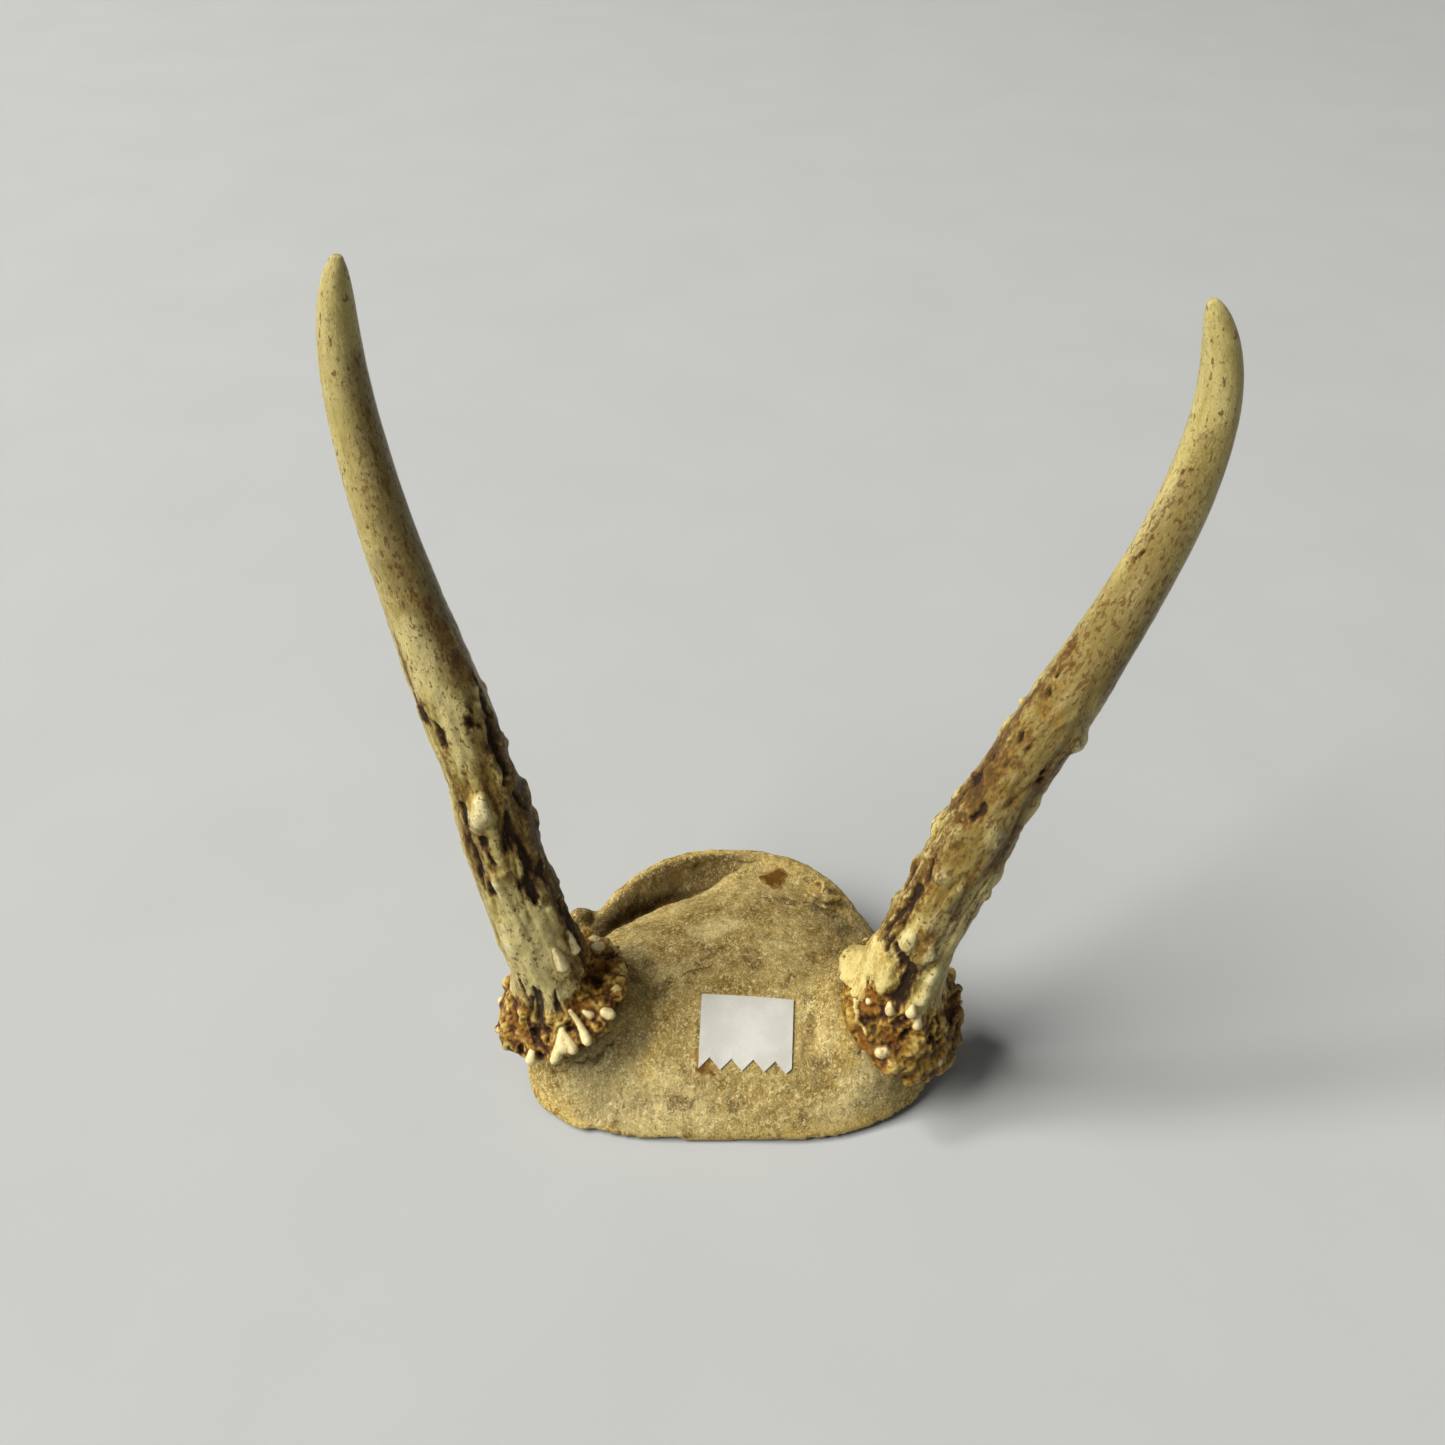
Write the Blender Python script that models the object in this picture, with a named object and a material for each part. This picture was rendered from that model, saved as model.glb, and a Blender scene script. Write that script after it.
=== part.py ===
"""A young buck's spike antlers on a skull plate that is covered with its own dried hide.

The plate lies on its sawn underside with the brow towards the viewer (-Y) and the antlers standing up.
+X is the viewer's right and +Z is up. The origin is on the sawn underside, in the middle of the plate.
Lengths are in millimetres and angles in degrees until a mesh is made, when MM turns them into metres.
Bearings are seen from above: 0 is the brow, 90 the viewer's right, 180 the back and 270 the left.
"""

import math
from collections import namedtuple

import bmesh
import bpy
import numpy as np
from mathutils import Matrix, Vector

MM = 0.001
# Touching pieces keep this distance.
GAP = 0.3
# Corners closer than this are one, and edges sharper than this angle are shaded sharp.
WELD = 0.01
SHARP_EDGE = 50

# The antlers. Each is one grown piece: a beam that rises out of a flared, lumpy burr.
BEAM_SEGMENTS = 28
# Distances along the beam from the middle of the burr, and the beam's radius at each.
BEAM_STATIONS = (-4.5, -3.4, -1.2, 1, 3.2, 6, 10, 16, 24, 33, 44, 55, 66, 78, 90, 101, 111, 122, 133,
                 144, 154, 163, 170, 174, 176.5)
BEAM_RADII = (10.5, 14, 15.9, 15.6, 13.6, 11.2, 9.8, 9.2, 8.9, 8.7, 8.5, 8.3, 7.4, 7.4, 7.2, 6.6, 6.1,
              5.7, 5.4, 5, 4.6, 4, 3.1, 2.1, 1)
# The beam leaves the burr square to it and has taken its own direction this far up.
BURR_TO_BEAM = 12
# How many lumps go round the burr and how far they stand out, as a share of its radius. The beam's
# own long ridges are shallower.
BURR_LUMPS = ((4, 0.04), (7, 0.06), (11, 0.05))
BEAM_RIDGES = ((2, 0.02), (5, 0.015))
# The lumps are full this far up and down from the burr's middle, and gone at twice as far.
BURR_EDGE = 5
# How far both beams lean back, at even steps from the burr to the tip.
BACK_LEAN = (0, 6, 12, 16, 17, 16, 12, 5)

# side is -1 on the viewer's left. The outward leans are read at the same even steps.
Spike = namedtuple("Spike", "name side burr_centre burr_out burr_forward outward_lean lump_turn")
SPIKES = (
    Spike("antler_left", -1, (-42, -15.5, 26), 26, 10, (4, 14.5, 11, 15.5, 16, 12.5, 4.5, -13), 20),
    Spike("antler_right", 1, (39.5, -18, 26.5), 26, 20, (-6, 18, 21.5, 28.5, 26.5, 22, 6, -28), 115),
)

# The hide's cut rim: its distance from the origin and the height of its upper edge, every 20 degrees
# from the brow. It lies on the ground at the brow and stands up as a curled lip at the back.
RIM_RADII = (38.8, 41.5, 47.2, 53, 52, 45, 39.5, 38.8, 38, 37.2, 38, 39, 40.5, 46, 52, 56.3, 48.2,
             41.2)
RIM_HEIGHTS = (2.2, 2.2, 2.2, 2.2, 4.5, 9, 16, 21, 23, 24, 24, 23, 20, 14, 6, 2.2, 2.2, 2.2)
CROWN_HEIGHT = 26.5
CROWN_POWER = 2.7
# The gutter in front of the lip: the share of the way out to the rim where it is deepest, how far it
# spreads inwards and outwards, and its depth on the right and on the left, with the bearings between
# which the one turns into the other. The lip and the gutter fade in and out between the last two.
GUTTER_SHARE = 0.76
GUTTER_INNER = 0.27
GUTTER_OUTER = 0.1
SHALLOW_GUTTER = 2
DEEP_GUTTER = 7.5
DEEP_GUTTER_STARTS = (172, 206)
LIP_STARTS = (100, 150)
LIP_ENDS = (225, 262)
HIDE_THICKNESS = 2.2
HIDE_SEGMENTS = 54
HIDE_SHARES = (0.08, 0.22, 0.36, 0.48, 0.58, 0.66, 0.73, 0.79, 0.85, 0.91, 0.96, 1)

# The hide climbs each pedicle to just under the burr: this far below the burr's middle. Seen from above
# it is all the way up at the inner distance and back on the dome at the outer, and nowhere in the burr.
COLLAR_TOP = 5.2
COLLAR_INNER = 12
COLLAR_OUTER = 21
COLLAR_RIM_POWER = 12
BURR_REACH = 17.5
BURR_RELIEF = 1.5

# The sawn bone under the hide reaches this share of the way to the hide's rim, in front and behind.
# It is this far straight below the hide, which still leaves about GAP where the hide is steep.
BONE_SHARE_BROW = 0.92
BONE_SHARE_BACK = 0.75
BONE_DROP = 2 * GAP
PEDICLE_RADIUS = 10.2
PEDICLE_DEPTH = 17
PEDICLE_SEGMENTS = 32

# The blank paper label: the middle of its upper edge, its turn seen from above, and its pinked foot,
# whose last tooth is cut off a quarter of the way on.
LABEL_TOP_MIDDLE = (3.1, -14.6)
LABEL_TURN = -3
LABEL_WIDTH = 22.2
LABEL_LENGTH = 17.8
LABEL_TOOTH = 2.8
LABEL_TEETH = 4.25
LABEL_ROWS = 6
LABEL_THICKNESS = 0.25
LABEL_PACE = 0.25


def clear_scene():
    for obj in list(bpy.data.objects):
        bpy.data.objects.remove(obj)


def material(name, colour, roughness):
    """A plain surface of one colour, which two objects may share."""
    made = bpy.data.materials.get(name) or bpy.data.materials.new(name)
    made.use_nodes = True
    shader = made.node_tree.nodes["Principled BSDF"]
    shader.inputs["Base Color"].default_value = (*colour, 1)
    shader.inputs["Roughness"].default_value = roughness
    shader.inputs["Metallic"].default_value = 0
    return made


def read_curve(places, values, at):
    """The value at one place of the smooth curve that goes through the given places and values."""
    places = np.asarray(places, float)
    slopes = np.gradient(np.asarray(values, float), places)
    i = int(np.clip(np.searchsorted(places, at) - 1, 0, len(places) - 2))
    span = places[i + 1] - places[i]
    t = min(max((at - places[i]) / span, 0), 1)
    from_here = (1 - t) ** 2 * ((1 + 2 * t) * values[i] + t * span * slopes[i])
    from_next = t**2 * ((3 - 2 * t) * values[i + 1] - (1 - t) * span * slopes[i + 1])
    return float(from_here + from_next)


def read_round(values, bearing):
    """The value at a bearing of a table that goes once round, from bearing 0 in even steps."""
    step = 360 / len(values)
    bearings = [step * i for i in range(-2, len(values) + 3)]
    wrapped = [values[i % len(values)] for i in range(-2, len(values) + 3)]
    return read_curve(bearings, wrapped, bearing % 360)


def fade(start, end, at):
    """0 before start and 1 after end, with a smooth rise between."""
    t = min(max((at - start) / (end - start), 0), 1)
    return t * t * (3 - 2 * t)


def leaning(side, out, forward):
    """The unit vector that leans outwards and then towards the viewer from straight up."""
    out, forward = math.radians(out), math.radians(forward)
    return Vector((
        side * math.sin(out), -math.cos(out) * math.sin(forward), math.cos(out) * math.cos(forward)))


def burr_axis(spike):
    return leaning(spike.side, spike.burr_out, spike.burr_forward)


def beam_line(spike):
    """The middle of the beam and its direction at each station."""
    steps = np.linspace(0, BEAM_STATIONS[-1], len(BACK_LEAN))
    square = burr_axis(spike)
    middle, reached = Vector(spike.burr_centre), 0
    line = []
    for station in BEAM_STATIONS:
        if station <= 0:
            line.append((middle + square * station, square))
            continue
        halfway = (reached + station) / 2
        out = read_curve(steps, spike.outward_lean, halfway)
        back = read_curve(steps, BACK_LEAN, halfway)
        along = leaning(spike.side, out, -back)
        middle = middle + along * (station - reached)
        reached = station
        line.append((middle, square.lerp(along, fade(0, BURR_TO_BEAM, station)).normalized()))
    return line


def lumpy(lumps, turn, angle):
    return 1 + sum(depth * math.cos(count * angle + math.radians(turn) * count) for count, depth in lumps)


def make_object(name, shape, surface):
    """Finishes a bmesh as one closed object, with its place in its mesh."""
    bmesh.ops.remove_doubles(shape, verts=shape.verts, dist=WELD * MM)
    bmesh.ops.recalc_face_normals(shape, faces=shape.faces)
    mesh = bpy.data.meshes.new(name)
    shape.to_mesh(mesh)
    shape.free()
    mesh.materials.append(surface)
    mesh.shade_smooth()
    mesh.set_sharp_from_angle(angle=math.radians(SHARP_EDGE))
    obj = bpy.data.objects.new(name, mesh)
    bpy.context.scene.collection.objects.link(obj)
    return obj


def loft(name, rings, surface):
    """A closed body through rings of points in millimetres: one ring, extruded to the place of each next."""
    shape = bmesh.new()
    made = bmesh.ops.create_circle(shape, cap_ends=True, segments=len(rings[0]), radius=MM)
    corners = made["verts"]
    edges = list(shape.edges)
    for ring in rings:
        if ring is not rings[0]:
            grown = bmesh.ops.extrude_edge_only(shape, edges=edges)["geom"]
            edges = [part for part in grown if isinstance(part, bmesh.types.BMEdge)]
            new = {part for part in grown if isinstance(part, bmesh.types.BMVert)}
            corners = [next(edge.other_vert(old) for edge in old.link_edges if edge.other_vert(old) in new)
                       for old in corners]
        for corner, place in zip(corners, ring):
            corner.co = Vector(place) * MM
    bmesh.ops.holes_fill(shape, edges=edges)
    return make_object(name, shape, surface)


def rod(name, start, end, radius):
    """A round rod between two points in millimetres, to join to or cut from another object."""
    along = end - start
    turned = along.to_track_quat("Z", "Y").to_matrix().to_4x4()
    shape = bmesh.new()
    bmesh.ops.create_cone(
        shape, cap_ends=True, segments=PEDICLE_SEGMENTS, radius1=radius * MM, radius2=radius * MM,
        depth=along.length * MM, matrix=Matrix.Translation((start + end) / 2 * MM) @ turned,
    )
    obj = make_object(name, shape, material("bone", (0.62, 0.54, 0.36), 0.7))
    obj.hide_render = True
    obj.display_type = "WIRE"
    return obj


def combine(obj, other, operation):
    boolean = obj.modifiers.new(other.name, "BOOLEAN")
    boolean.operation = operation
    boolean.solver = "EXACT"
    boolean.object = other


def antler(spike):
    rings = []
    for (middle, along), station, radius in zip(beam_line(spike), BEAM_STATIONS, BEAM_RADII):
        across = Vector((0, 1, 0)).cross(along).normalized()
        upright = along.cross(across)
        burr = 1 - fade(BURR_EDGE, 2 * BURR_EDGE, abs(station))
        ring = []
        for i in range(BEAM_SEGMENTS):
            angle = 2 * math.pi * i / BEAM_SEGMENTS
            lumps = burr * lumpy(BURR_LUMPS, spike.lump_turn, angle)
            ridges = (1 - burr) * lumpy(BEAM_RIDGES, spike.lump_turn, angle)
            reach = radius * (lumps + ridges)
            ring.append(middle + (across * math.cos(angle) + upright * math.sin(angle)) * reach)
        rings.append(ring)
    return loft(spike.name, rings, material("antler", (0.56, 0.45, 0.24), 0.45))


def lip_weight(bearing):
    return fade(*LIP_STARTS, bearing) * (1 - fade(*LIP_ENDS, bearing))


def gutter_depth(bearing):
    deep = (DEEP_GUTTER - SHALLOW_GUTTER) * fade(*DEEP_GUTTER_STARTS, bearing)
    return lip_weight(bearing) * (SHALLOW_GUTTER + deep)


def dome_height(bearing, share):
    """The height of the hide's upper face between the pedicles, which the bone under it follows."""
    rim = read_round(RIM_HEIGHTS, bearing)
    dome = rim + (CROWN_HEIGHT - rim) * (1 - share**CROWN_POWER)
    spread = GUTTER_INNER if share < GUTTER_SHARE else GUTTER_OUTER
    return dome - gutter_depth(bearing) * math.exp(-(((share - GUTTER_SHARE) / spread) ** 2))


def hide_height(bearing, share):
    """The height of the hide's upper face, with the collars that climb the pedicles."""
    height = dome_height(bearing, share)
    x, y = hide_place(bearing, share)
    for spike in SPIKES:
        square = burr_axis(spike)
        middle = Vector(spike.burr_centre) - square * COLLAR_TOP
        away = math.hypot(x - middle.x, y - middle.y)
        top = middle.z - (square.x * (x - middle.x) + square.y * (y - middle.y)) / square.z
        if top > height:
            near = 1 - fade(COLLAR_INNER, COLLAR_OUTER, away)
            height += (top - height) * near * (1 - share**COLLAR_RIM_POWER)
        else:
            height = min(height, top + BURR_RELIEF * max(away - BURR_REACH, 0))
    return height


def hide_place(bearing, share):
    """Where a bearing and a share of the way out to the rim are on the ground."""
    reach = share * read_round(RIM_RADII, bearing)
    return reach * math.sin(math.radians(bearing)), -reach * math.cos(math.radians(bearing))


def bearings():
    return [360 * i / HIDE_SEGMENTS for i in range(HIDE_SEGMENTS)]


def hide_ring(share, drop):
    """A ring of the hide's upper face, lowered by drop, one share of the way out to the rim."""
    return [
        (*hide_place(bearing, share), max(hide_height(bearing, share) - drop, 0))
        for bearing in bearings()
    ]


def bone_ring(share):
    """A ring of the bone's upper face, which stops at the bone's own edge."""
    ring = []
    for bearing in bearings():
        edge = BONE_SHARE_BROW + (BONE_SHARE_BACK - BONE_SHARE_BROW) * lip_weight(bearing)
        reached = min(share, edge)
        hide = min(dome_height(bearing, reached), hide_height(bearing, reached))
        ring.append((*hide_place(bearing, reached), hide - HIDE_THICKNESS - BONE_DROP))
    return ring


def hide_cover():
    upper = [hide_ring(share, 0) for share in HIDE_SHARES]
    lower = [hide_ring(share, HIDE_THICKNESS) for share in reversed(HIDE_SHARES)]
    cover = loft("hide_cover", upper + lower, material("hide", (0.5, 0.38, 0.19), 0.9))
    for spike in SPIKES:
        centre, square = Vector(spike.burr_centre), burr_axis(spike)
        foot = centre - square * 2 * PEDICLE_DEPTH
        hole = rod("hole_" + spike.name, foot, centre, PEDICLE_RADIUS + 2 * GAP)
        combine(cover, hole, "DIFFERENCE")
    return cover


def skull_plate():
    """The bone follows the hide's inner face out to its own sawn edge, and is flat below."""
    rings = [bone_ring(share) for share in HIDE_SHARES]
    rings.append([(x, y, 0) for x, y, z in rings[-1]])
    plate = loft("skull_plate", rings, material("bone", (0.62, 0.54, 0.36), 0.7))
    for spike in SPIKES:
        centre, square = Vector(spike.burr_centre), burr_axis(spike)
        top = centre + square * (BEAM_STATIONS[0] - GAP)
        pedicle = rod("pedicle_" + spike.name, centre - square * PEDICLE_DEPTH, top, PEDICLE_RADIUS)
        combine(plate, pedicle, "UNION")
    return plate


def hide_height_at(x, y):
    bearing = math.degrees(math.atan2(x, -y)) % 360
    return hide_height(bearing, math.hypot(x, y) / read_round(RIM_RADII, bearing))


def down_the_hide(x, y, heading, length):
    """Walks a length along the hide's face, from a place and in a heading seen from above."""
    height = hide_height_at(x, y)
    while length > 0:
        x, y = x + LABEL_PACE * heading.x, y + LABEL_PACE * heading.y
        lower = hide_height_at(x, y)
        length -= math.hypot(LABEL_PACE, lower - height)
        height = lower
    return x, y, height


def paper_label():
    turn = math.radians(LABEL_TURN)
    across = Vector((math.cos(turn), math.sin(turn)))
    down = Vector((math.sin(turn), -math.cos(turn)))
    columns = round(4 * LABEL_TEETH)
    shape = bmesh.new()
    bmesh.ops.create_grid(shape, x_segments=columns, y_segments=LABEL_ROWS, size=1)
    for corner in shape.verts:
        column, row = (corner.co.x + 1) / 2, (1 - corner.co.y) / 2
        start = Vector(LABEL_TOP_MIDDLE) + across * (column - 0.5) * LABEL_WIDTH
        tooth = abs(1 - 2 * (column * LABEL_TEETH % 1)) * LABEL_TOOTH
        length = row * (LABEL_LENGTH - LABEL_TOOTH + tooth)
        x, y, height = down_the_hide(start.x, start.y, down, length)
        corner.co = Vector((x, y, height + GAP)) * MM
    raised = bmesh.ops.extrude_face_region(shape, geom=shape.faces[:])["geom"]
    top = [part for part in raised if isinstance(part, bmesh.types.BMVert)]
    bmesh.ops.translate(shape, verts=top, vec=(0, 0, LABEL_THICKNESS * MM))
    return make_object("paper_label", shape, material("paper", (0.8, 0.79, 0.75), 0.6))


clear_scene()
skull_plate()
hide_cover()
paper_label()
for spike in SPIKES:
    antler(spike)
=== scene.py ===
"""A young buck's spike antlers on a hide-covered skull plate: grown antler, dried hide, sawn bone and paper.

Lengths are in millimetres and angles in degrees until a mesh is made. Bearings are seen from above: 0 is
the brow, which faces the viewer, 90 the viewer's right and 180 the back. An angle round a beam is 0 on the
viewer's right, 90 behind, 180 on the left and 270 in front.
"""

import math
from collections import namedtuple

import bmesh
import bpy
import numpy as np
from mathutils import Matrix, Vector


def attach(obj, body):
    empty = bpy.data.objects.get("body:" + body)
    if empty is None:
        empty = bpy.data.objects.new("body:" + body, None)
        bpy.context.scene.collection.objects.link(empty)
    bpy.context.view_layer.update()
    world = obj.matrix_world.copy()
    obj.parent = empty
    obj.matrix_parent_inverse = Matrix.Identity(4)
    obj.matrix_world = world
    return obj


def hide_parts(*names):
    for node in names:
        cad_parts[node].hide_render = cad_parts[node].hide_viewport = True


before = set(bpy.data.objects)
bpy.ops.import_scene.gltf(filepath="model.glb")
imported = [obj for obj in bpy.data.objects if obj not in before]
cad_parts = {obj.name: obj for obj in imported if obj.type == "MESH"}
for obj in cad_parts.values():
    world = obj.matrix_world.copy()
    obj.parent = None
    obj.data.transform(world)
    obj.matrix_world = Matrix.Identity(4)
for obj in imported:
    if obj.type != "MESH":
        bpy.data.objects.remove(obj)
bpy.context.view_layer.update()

MM = 0.001
WELD = 0.01

# The antlers' shape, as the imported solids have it.
BEAM_LENGTH = 176.5
BURR_FOOT = -4.5
BEAM_STATIONS = (-4.5, -3.4, -1.2, 1, 3.2, 6, 10, 16, 24, 33, 44, 55, 66, 78, 90, 101, 111, 122, 133, 144,
                 154, 163, 170, 174, 176.5)
BEAM_RADII = (10.5, 14, 15.9, 15.6, 13.6, 11.2, 9.8, 9.2, 8.9, 8.7, 8.5, 8.3, 7.4, 7.4, 7.2, 6.6, 6.1, 5.7,
              5.4, 5, 4.6, 4, 3.1, 2.1, 1)
BURR_TO_BEAM = 12
BACK_LEAN = (0, 6, 12, 16, 17, 16, 12, 5)
# The outward lean is given along the beam in even steps, and the burr's reach from its axis every 30 degrees.
Spike = namedtuple("Spike", "name side burr_centre burr_out burr_forward outward_lean burr_reach")
LEFT = Spike("antler_left", -1, (-42, -15.5, 26), 26, 10, (4, 14.5, 11, 15.5, 16, 12.5, 4.5, -13),
             (16.6, 17.4, 16.5, 16, 16, 16.8, 17.6, 17.2, 16, 16, 16, 16))
RIGHT = Spike("antler_right", 1, (39.5, -18, 26.5), 26, 20, (-6, 18, 21.5, 28.5, 26.5, 22, 6, -28),
              (17, 15.8, 15.5, 15.8, 16.8, 17.4, 15.8, 15.4, 16.2, 17.6, 18.4, 17.8))
BURR_MIDDLE_REACH = 15.9
# The height of the burr's upper face, by reach from its axis.
FACE_REACHES = (9.8, 10.5, 12, 14, 15.5, 17, 19)
FACE_HEIGHTS = (11, 8, 4.6, 2.2, 1, -0.6, -2)

# The hide's shape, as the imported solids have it.
RIM_RADII = (38.8, 41.5, 47.2, 53, 52, 45, 39.5, 38.8, 38, 37.2, 38, 39, 40.5, 46, 52, 56.3, 48.2, 41.2)
RIM_HEIGHTS = (2.2, 2.2, 2.2, 2.2, 4.5, 9, 16, 21, 23, 24, 24, 23, 20, 14, 6, 2.2, 2.2, 2.2)
CROWN_HEIGHT = 26.5
CROWN_POWER = 2.7
GUTTER_SHARE, GUTTER_INNER, GUTTER_OUTER = 0.76, 0.27, 0.1
SHALLOW_GUTTER, DEEP_GUTTER, DEEP_GUTTER_STARTS = 2, 7.5, (172, 206)
LIP_STARTS, LIP_ENDS = (100, 150), (225, 262)
HIDE_THICKNESS = 2.2
COLLAR_TOP, COLLAR_INNER, COLLAR_OUTER, COLLAR_RIM_POWER = 5.2, 12, 21, 12
BURR_REACH, BURR_RELIEF = 17.5, 1.5
BONE_SHARE_BROW, BONE_SHARE_BACK, BONE_DROP = 0.92, 0.75, 0.6

# How fine the surfaces are made: their first grids' corners, and the voxels that they are melted into.
ANTLER_GRID, HIDE_GRID, BONE_GRID, LABEL_GRID = (120, 300), (300, 121), (220, 120), (102, 60)
ANTLER_VOXEL, HIDE_VOXEL, BONE_VOXEL = 0.4, 0.5, 0.7
# The small mouth in a flat skin's middle, how its rings crowd towards its edge, and the least sharp angle.
END_MOUTH, RING_POWER, SHARP_ANGLE = 0.01, 0.8, 40
# The gap between a knob's beads by its half width, and how far each kind of knob is raised by its width.
BEAD_GAP = 0.3
PEARL_LIFT, FOOT_PEARL_LIFT, LUMP_LIFT, NODULE_LIFT = 0.14, 0.16, -0.02, -0.14
# The scattered knobs: one every so many degrees of a burr's wild arc, and so many small beads on a beam.
WILD_STEP, BEAM_BEADS = 11, 80
# How wide the bone's pores are, and how far most noise strays from its middle.
PORE_WIDTH, NOISE_REACH = 1.3, 0.17
# A burr's flutes come from noise on a rod this thick, squeezed along it.
FAN_RADIUS, FAN_SQUEEZE = 9, 0.6
# Where a nearness to chains starts from, and the least squared length of a stretch.
NOWHERE_NEAR, LEAST_SQUARE = -9.0, 1e-6

# Cream pearls on the burrs: chains of (angle, reach, width). A chain melts into one knob.
PEARLS = {
    "antler_left": (
        ((285, 12.2, 1.2), (277, 14, 2.1), (268, 16.2, 2.6)),
        ((285, 12.2, 1.2), (284, 14, 1.9), (284, 16.2, 2.4)), ((279, 13.6, 2), (277, 15.4, 2.4)),
        ((265, 16.6, 2.2),), ((306, 11.2, 0.9), (303.5, 12.8, 1.4), (300.5, 14.6, 1.9), (298, 16.4, 2.5)),
        ((315, 12.6, 1.2), (316, 13.7, 1.9)), ((325, 15.6, 2.2), (326, 16.6, 2.8)), ((35, 14.4, 3.4),),
        ((48, 15.4, 3),), ((168, 17.4, 1.6), (163, 18.4, 2.2)), ((245, 14.8, 1.6), (243, 16.4, 3.2)),
    ),
    "antler_right": (
        ((252, 14.6, 2.5), (250, 15.2, 2.7)), ((311, 15.5, 2.5),), ((352, 17.6, 1.8),), ((130, 16.8, 1.8),),
    ),
}
# Pearls on the foot of each beam: chains of (station, angle, width).
FOOT_PEARLS = {
    "antler_left": (
        ((23, 305, 1.4), (20.6, 305, 2.5), (17.8, 305, 3.1)),
        ((24, 336, 1.2), (21.6, 335, 2), (19.2, 334, 2.5)),
    ),
    "antler_right": (
        ((7.7, 217, 1.6),), ((10.2, 248, 2), (9, 248, 2.6)), ((11, 275, 1.2), (9.6, 275, 2.4)),
        ((8.6, 286, 1.2), (7, 286, 2.3)),
    ),
}
# Crusted lumps on the burrs: chains of (angle, reach, width).
LUMPS = {
    "antler_left": (
        ((34, 15, 3), (30, 17.2, 3.4)), ((14, 14, 3.4), (12, 17.2, 4)), ((354, 14, 3), (354, 17, 3.6)),
        ((340, 13.5, 2.4), (342, 16.8, 3.2)), ((48, 14, 3), (52, 16.4, 3)),
        ((186, 14, 3.2), (187, 17.6, 3.2)), ((208, 12, 3), (210, 15.6, 4.8)),
        ((226, 12, 2), (225, 15.4, 2.6)), ((170, 14, 2.8), (170, 16.8, 3)),
        ((250, 10, 1.4), (247, 13.8, 1.8)), ((197, 15, 2.6), (197, 17.4, 2.6)),
        ((312, 14.6, 2), (311, 16, 2)),
    ),
    "antler_right": (
        ((150, 14.6, 4), (155, 16.6, 4)), ((134, 14, 3.6), (138, 15.4, 3.6)),
        ((20, 9.8, 2.8), (20, 12, 3.6)), ((358, 9.8, 2.8), (358, 11.8, 3.6)), ((341, 11.8, 3.2),),
        ((350, 15.5, 3), (350, 17.6, 3.2)), ((340, 15, 3), (339, 17.6, 3)), ((330, 15, 3), (330, 17.4, 3.2)),
        ((124, 13, 3), (124, 16.2, 3)), ((112, 13, 2.6), (111, 16, 2.8)), ((5, 13, 3), (6, 16, 3.2)),
        ((298, 15, 3), (298, 17.6, 3.2)), ((284, 15.4, 2.8), (284, 17.6, 3)),
        ((270, 15, 2.4), (268, 17, 2.8)), ((312, 12.6, 2.8), (314, 15, 2.6)),
        ((322, 12, 2.4), (322, 15.4, 2.8)), ((290, 12, 2.2),),
    ),
}
# How far up each antler its crust reaches, every 30 degrees round.
CRUST_TOPS = {
    "antler_left": (13, 12, 10, 9, 9, 9, 9, 10, 8.5, 7.5, 8, 11),
    "antler_right": (13, 10, 9, 9, 9, 13, 17, 19, 15, 9.5, 10, 12),
}
# The arc of each burr whose knobs are scattered.
WILD_ARC = {"antler_left": (62, 160), "antler_right": (20, 115)}

# Bumps on the beams: (station, angle, width, height).
BUMPS = {
    "antler_left": (
        (85, 226, 4, 0.7), (62, 272, 5.4, 0.6), (59, 257, 4, 0.9), (73, 356, 4, 0.7), (66, 358, 4, 0.8),
        (59, 16, 4.4, 0.8), (53, 16, 3.6, 0.8), (50, 8, 3, 0.7), (37, 18, 4.6, 0.8), (32, 2, 4.4, 0.8),
        (45, 268, 4, 0.6), (44, 340, 4, 0.8), (24, 352, 5, 0.9), (13.5, 42, 4, 1), (27, 244, 5, 0.5),
        (98, 340, 4, 0.5),
    ),
    "antler_right": (
        (84, 326, 4.6, 1.5), (78, 150, 4.6, 0.9), (60, 160, 4.4, 0.8), (52, 156, 6, 1.6), (45, 230, 5, 0.8),
        (55, 216, 4, 0.8), (65, 248, 4.4, 0.7), (71, 236, 3.6, 0.6), (26, 272, 5, 0.7), (20, 290, 5.4, 0.9),
        (14, 292, 5, 0.8), (27, 230, 4.4, 0.6), (34, 250, 5, 0.5), (58, 268, 5, 0.5), (47, 330, 6, 0.9),
        (66, 330, 5, 0.5), (40, 150, 4, 0.7), (30, 160, 3.4, 0.7), (18, 200, 3, 0.8), (90, 160, 4, 0.5),
        (36, 196, 3.4, 0.6), (48, 195, 3.4, 0.6),
    ),
}
# Small glossy nodules on the beams: chains of (station, angle, width).
NODULES = {
    "antler_left": (((64, 276, 2.8), (60, 272, 4.4)), ((33, 322, 2.4), (28, 326, 2.4)), ((46, 280, 2.4),)),
    "antler_right": (
        ((29, 232, 3), (25.4, 234, 2.6), (23, 230, 1.6)), ((44, 226, 2.4),), ((42, 253, 3), (39, 254, 3.2)),
        ((43, 317, 3.6),), ((48, 250, 2),), ((22, 290, 2.4), (16, 289, 3.2), (12.6, 285, 3.4)),
    ),
}
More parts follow.
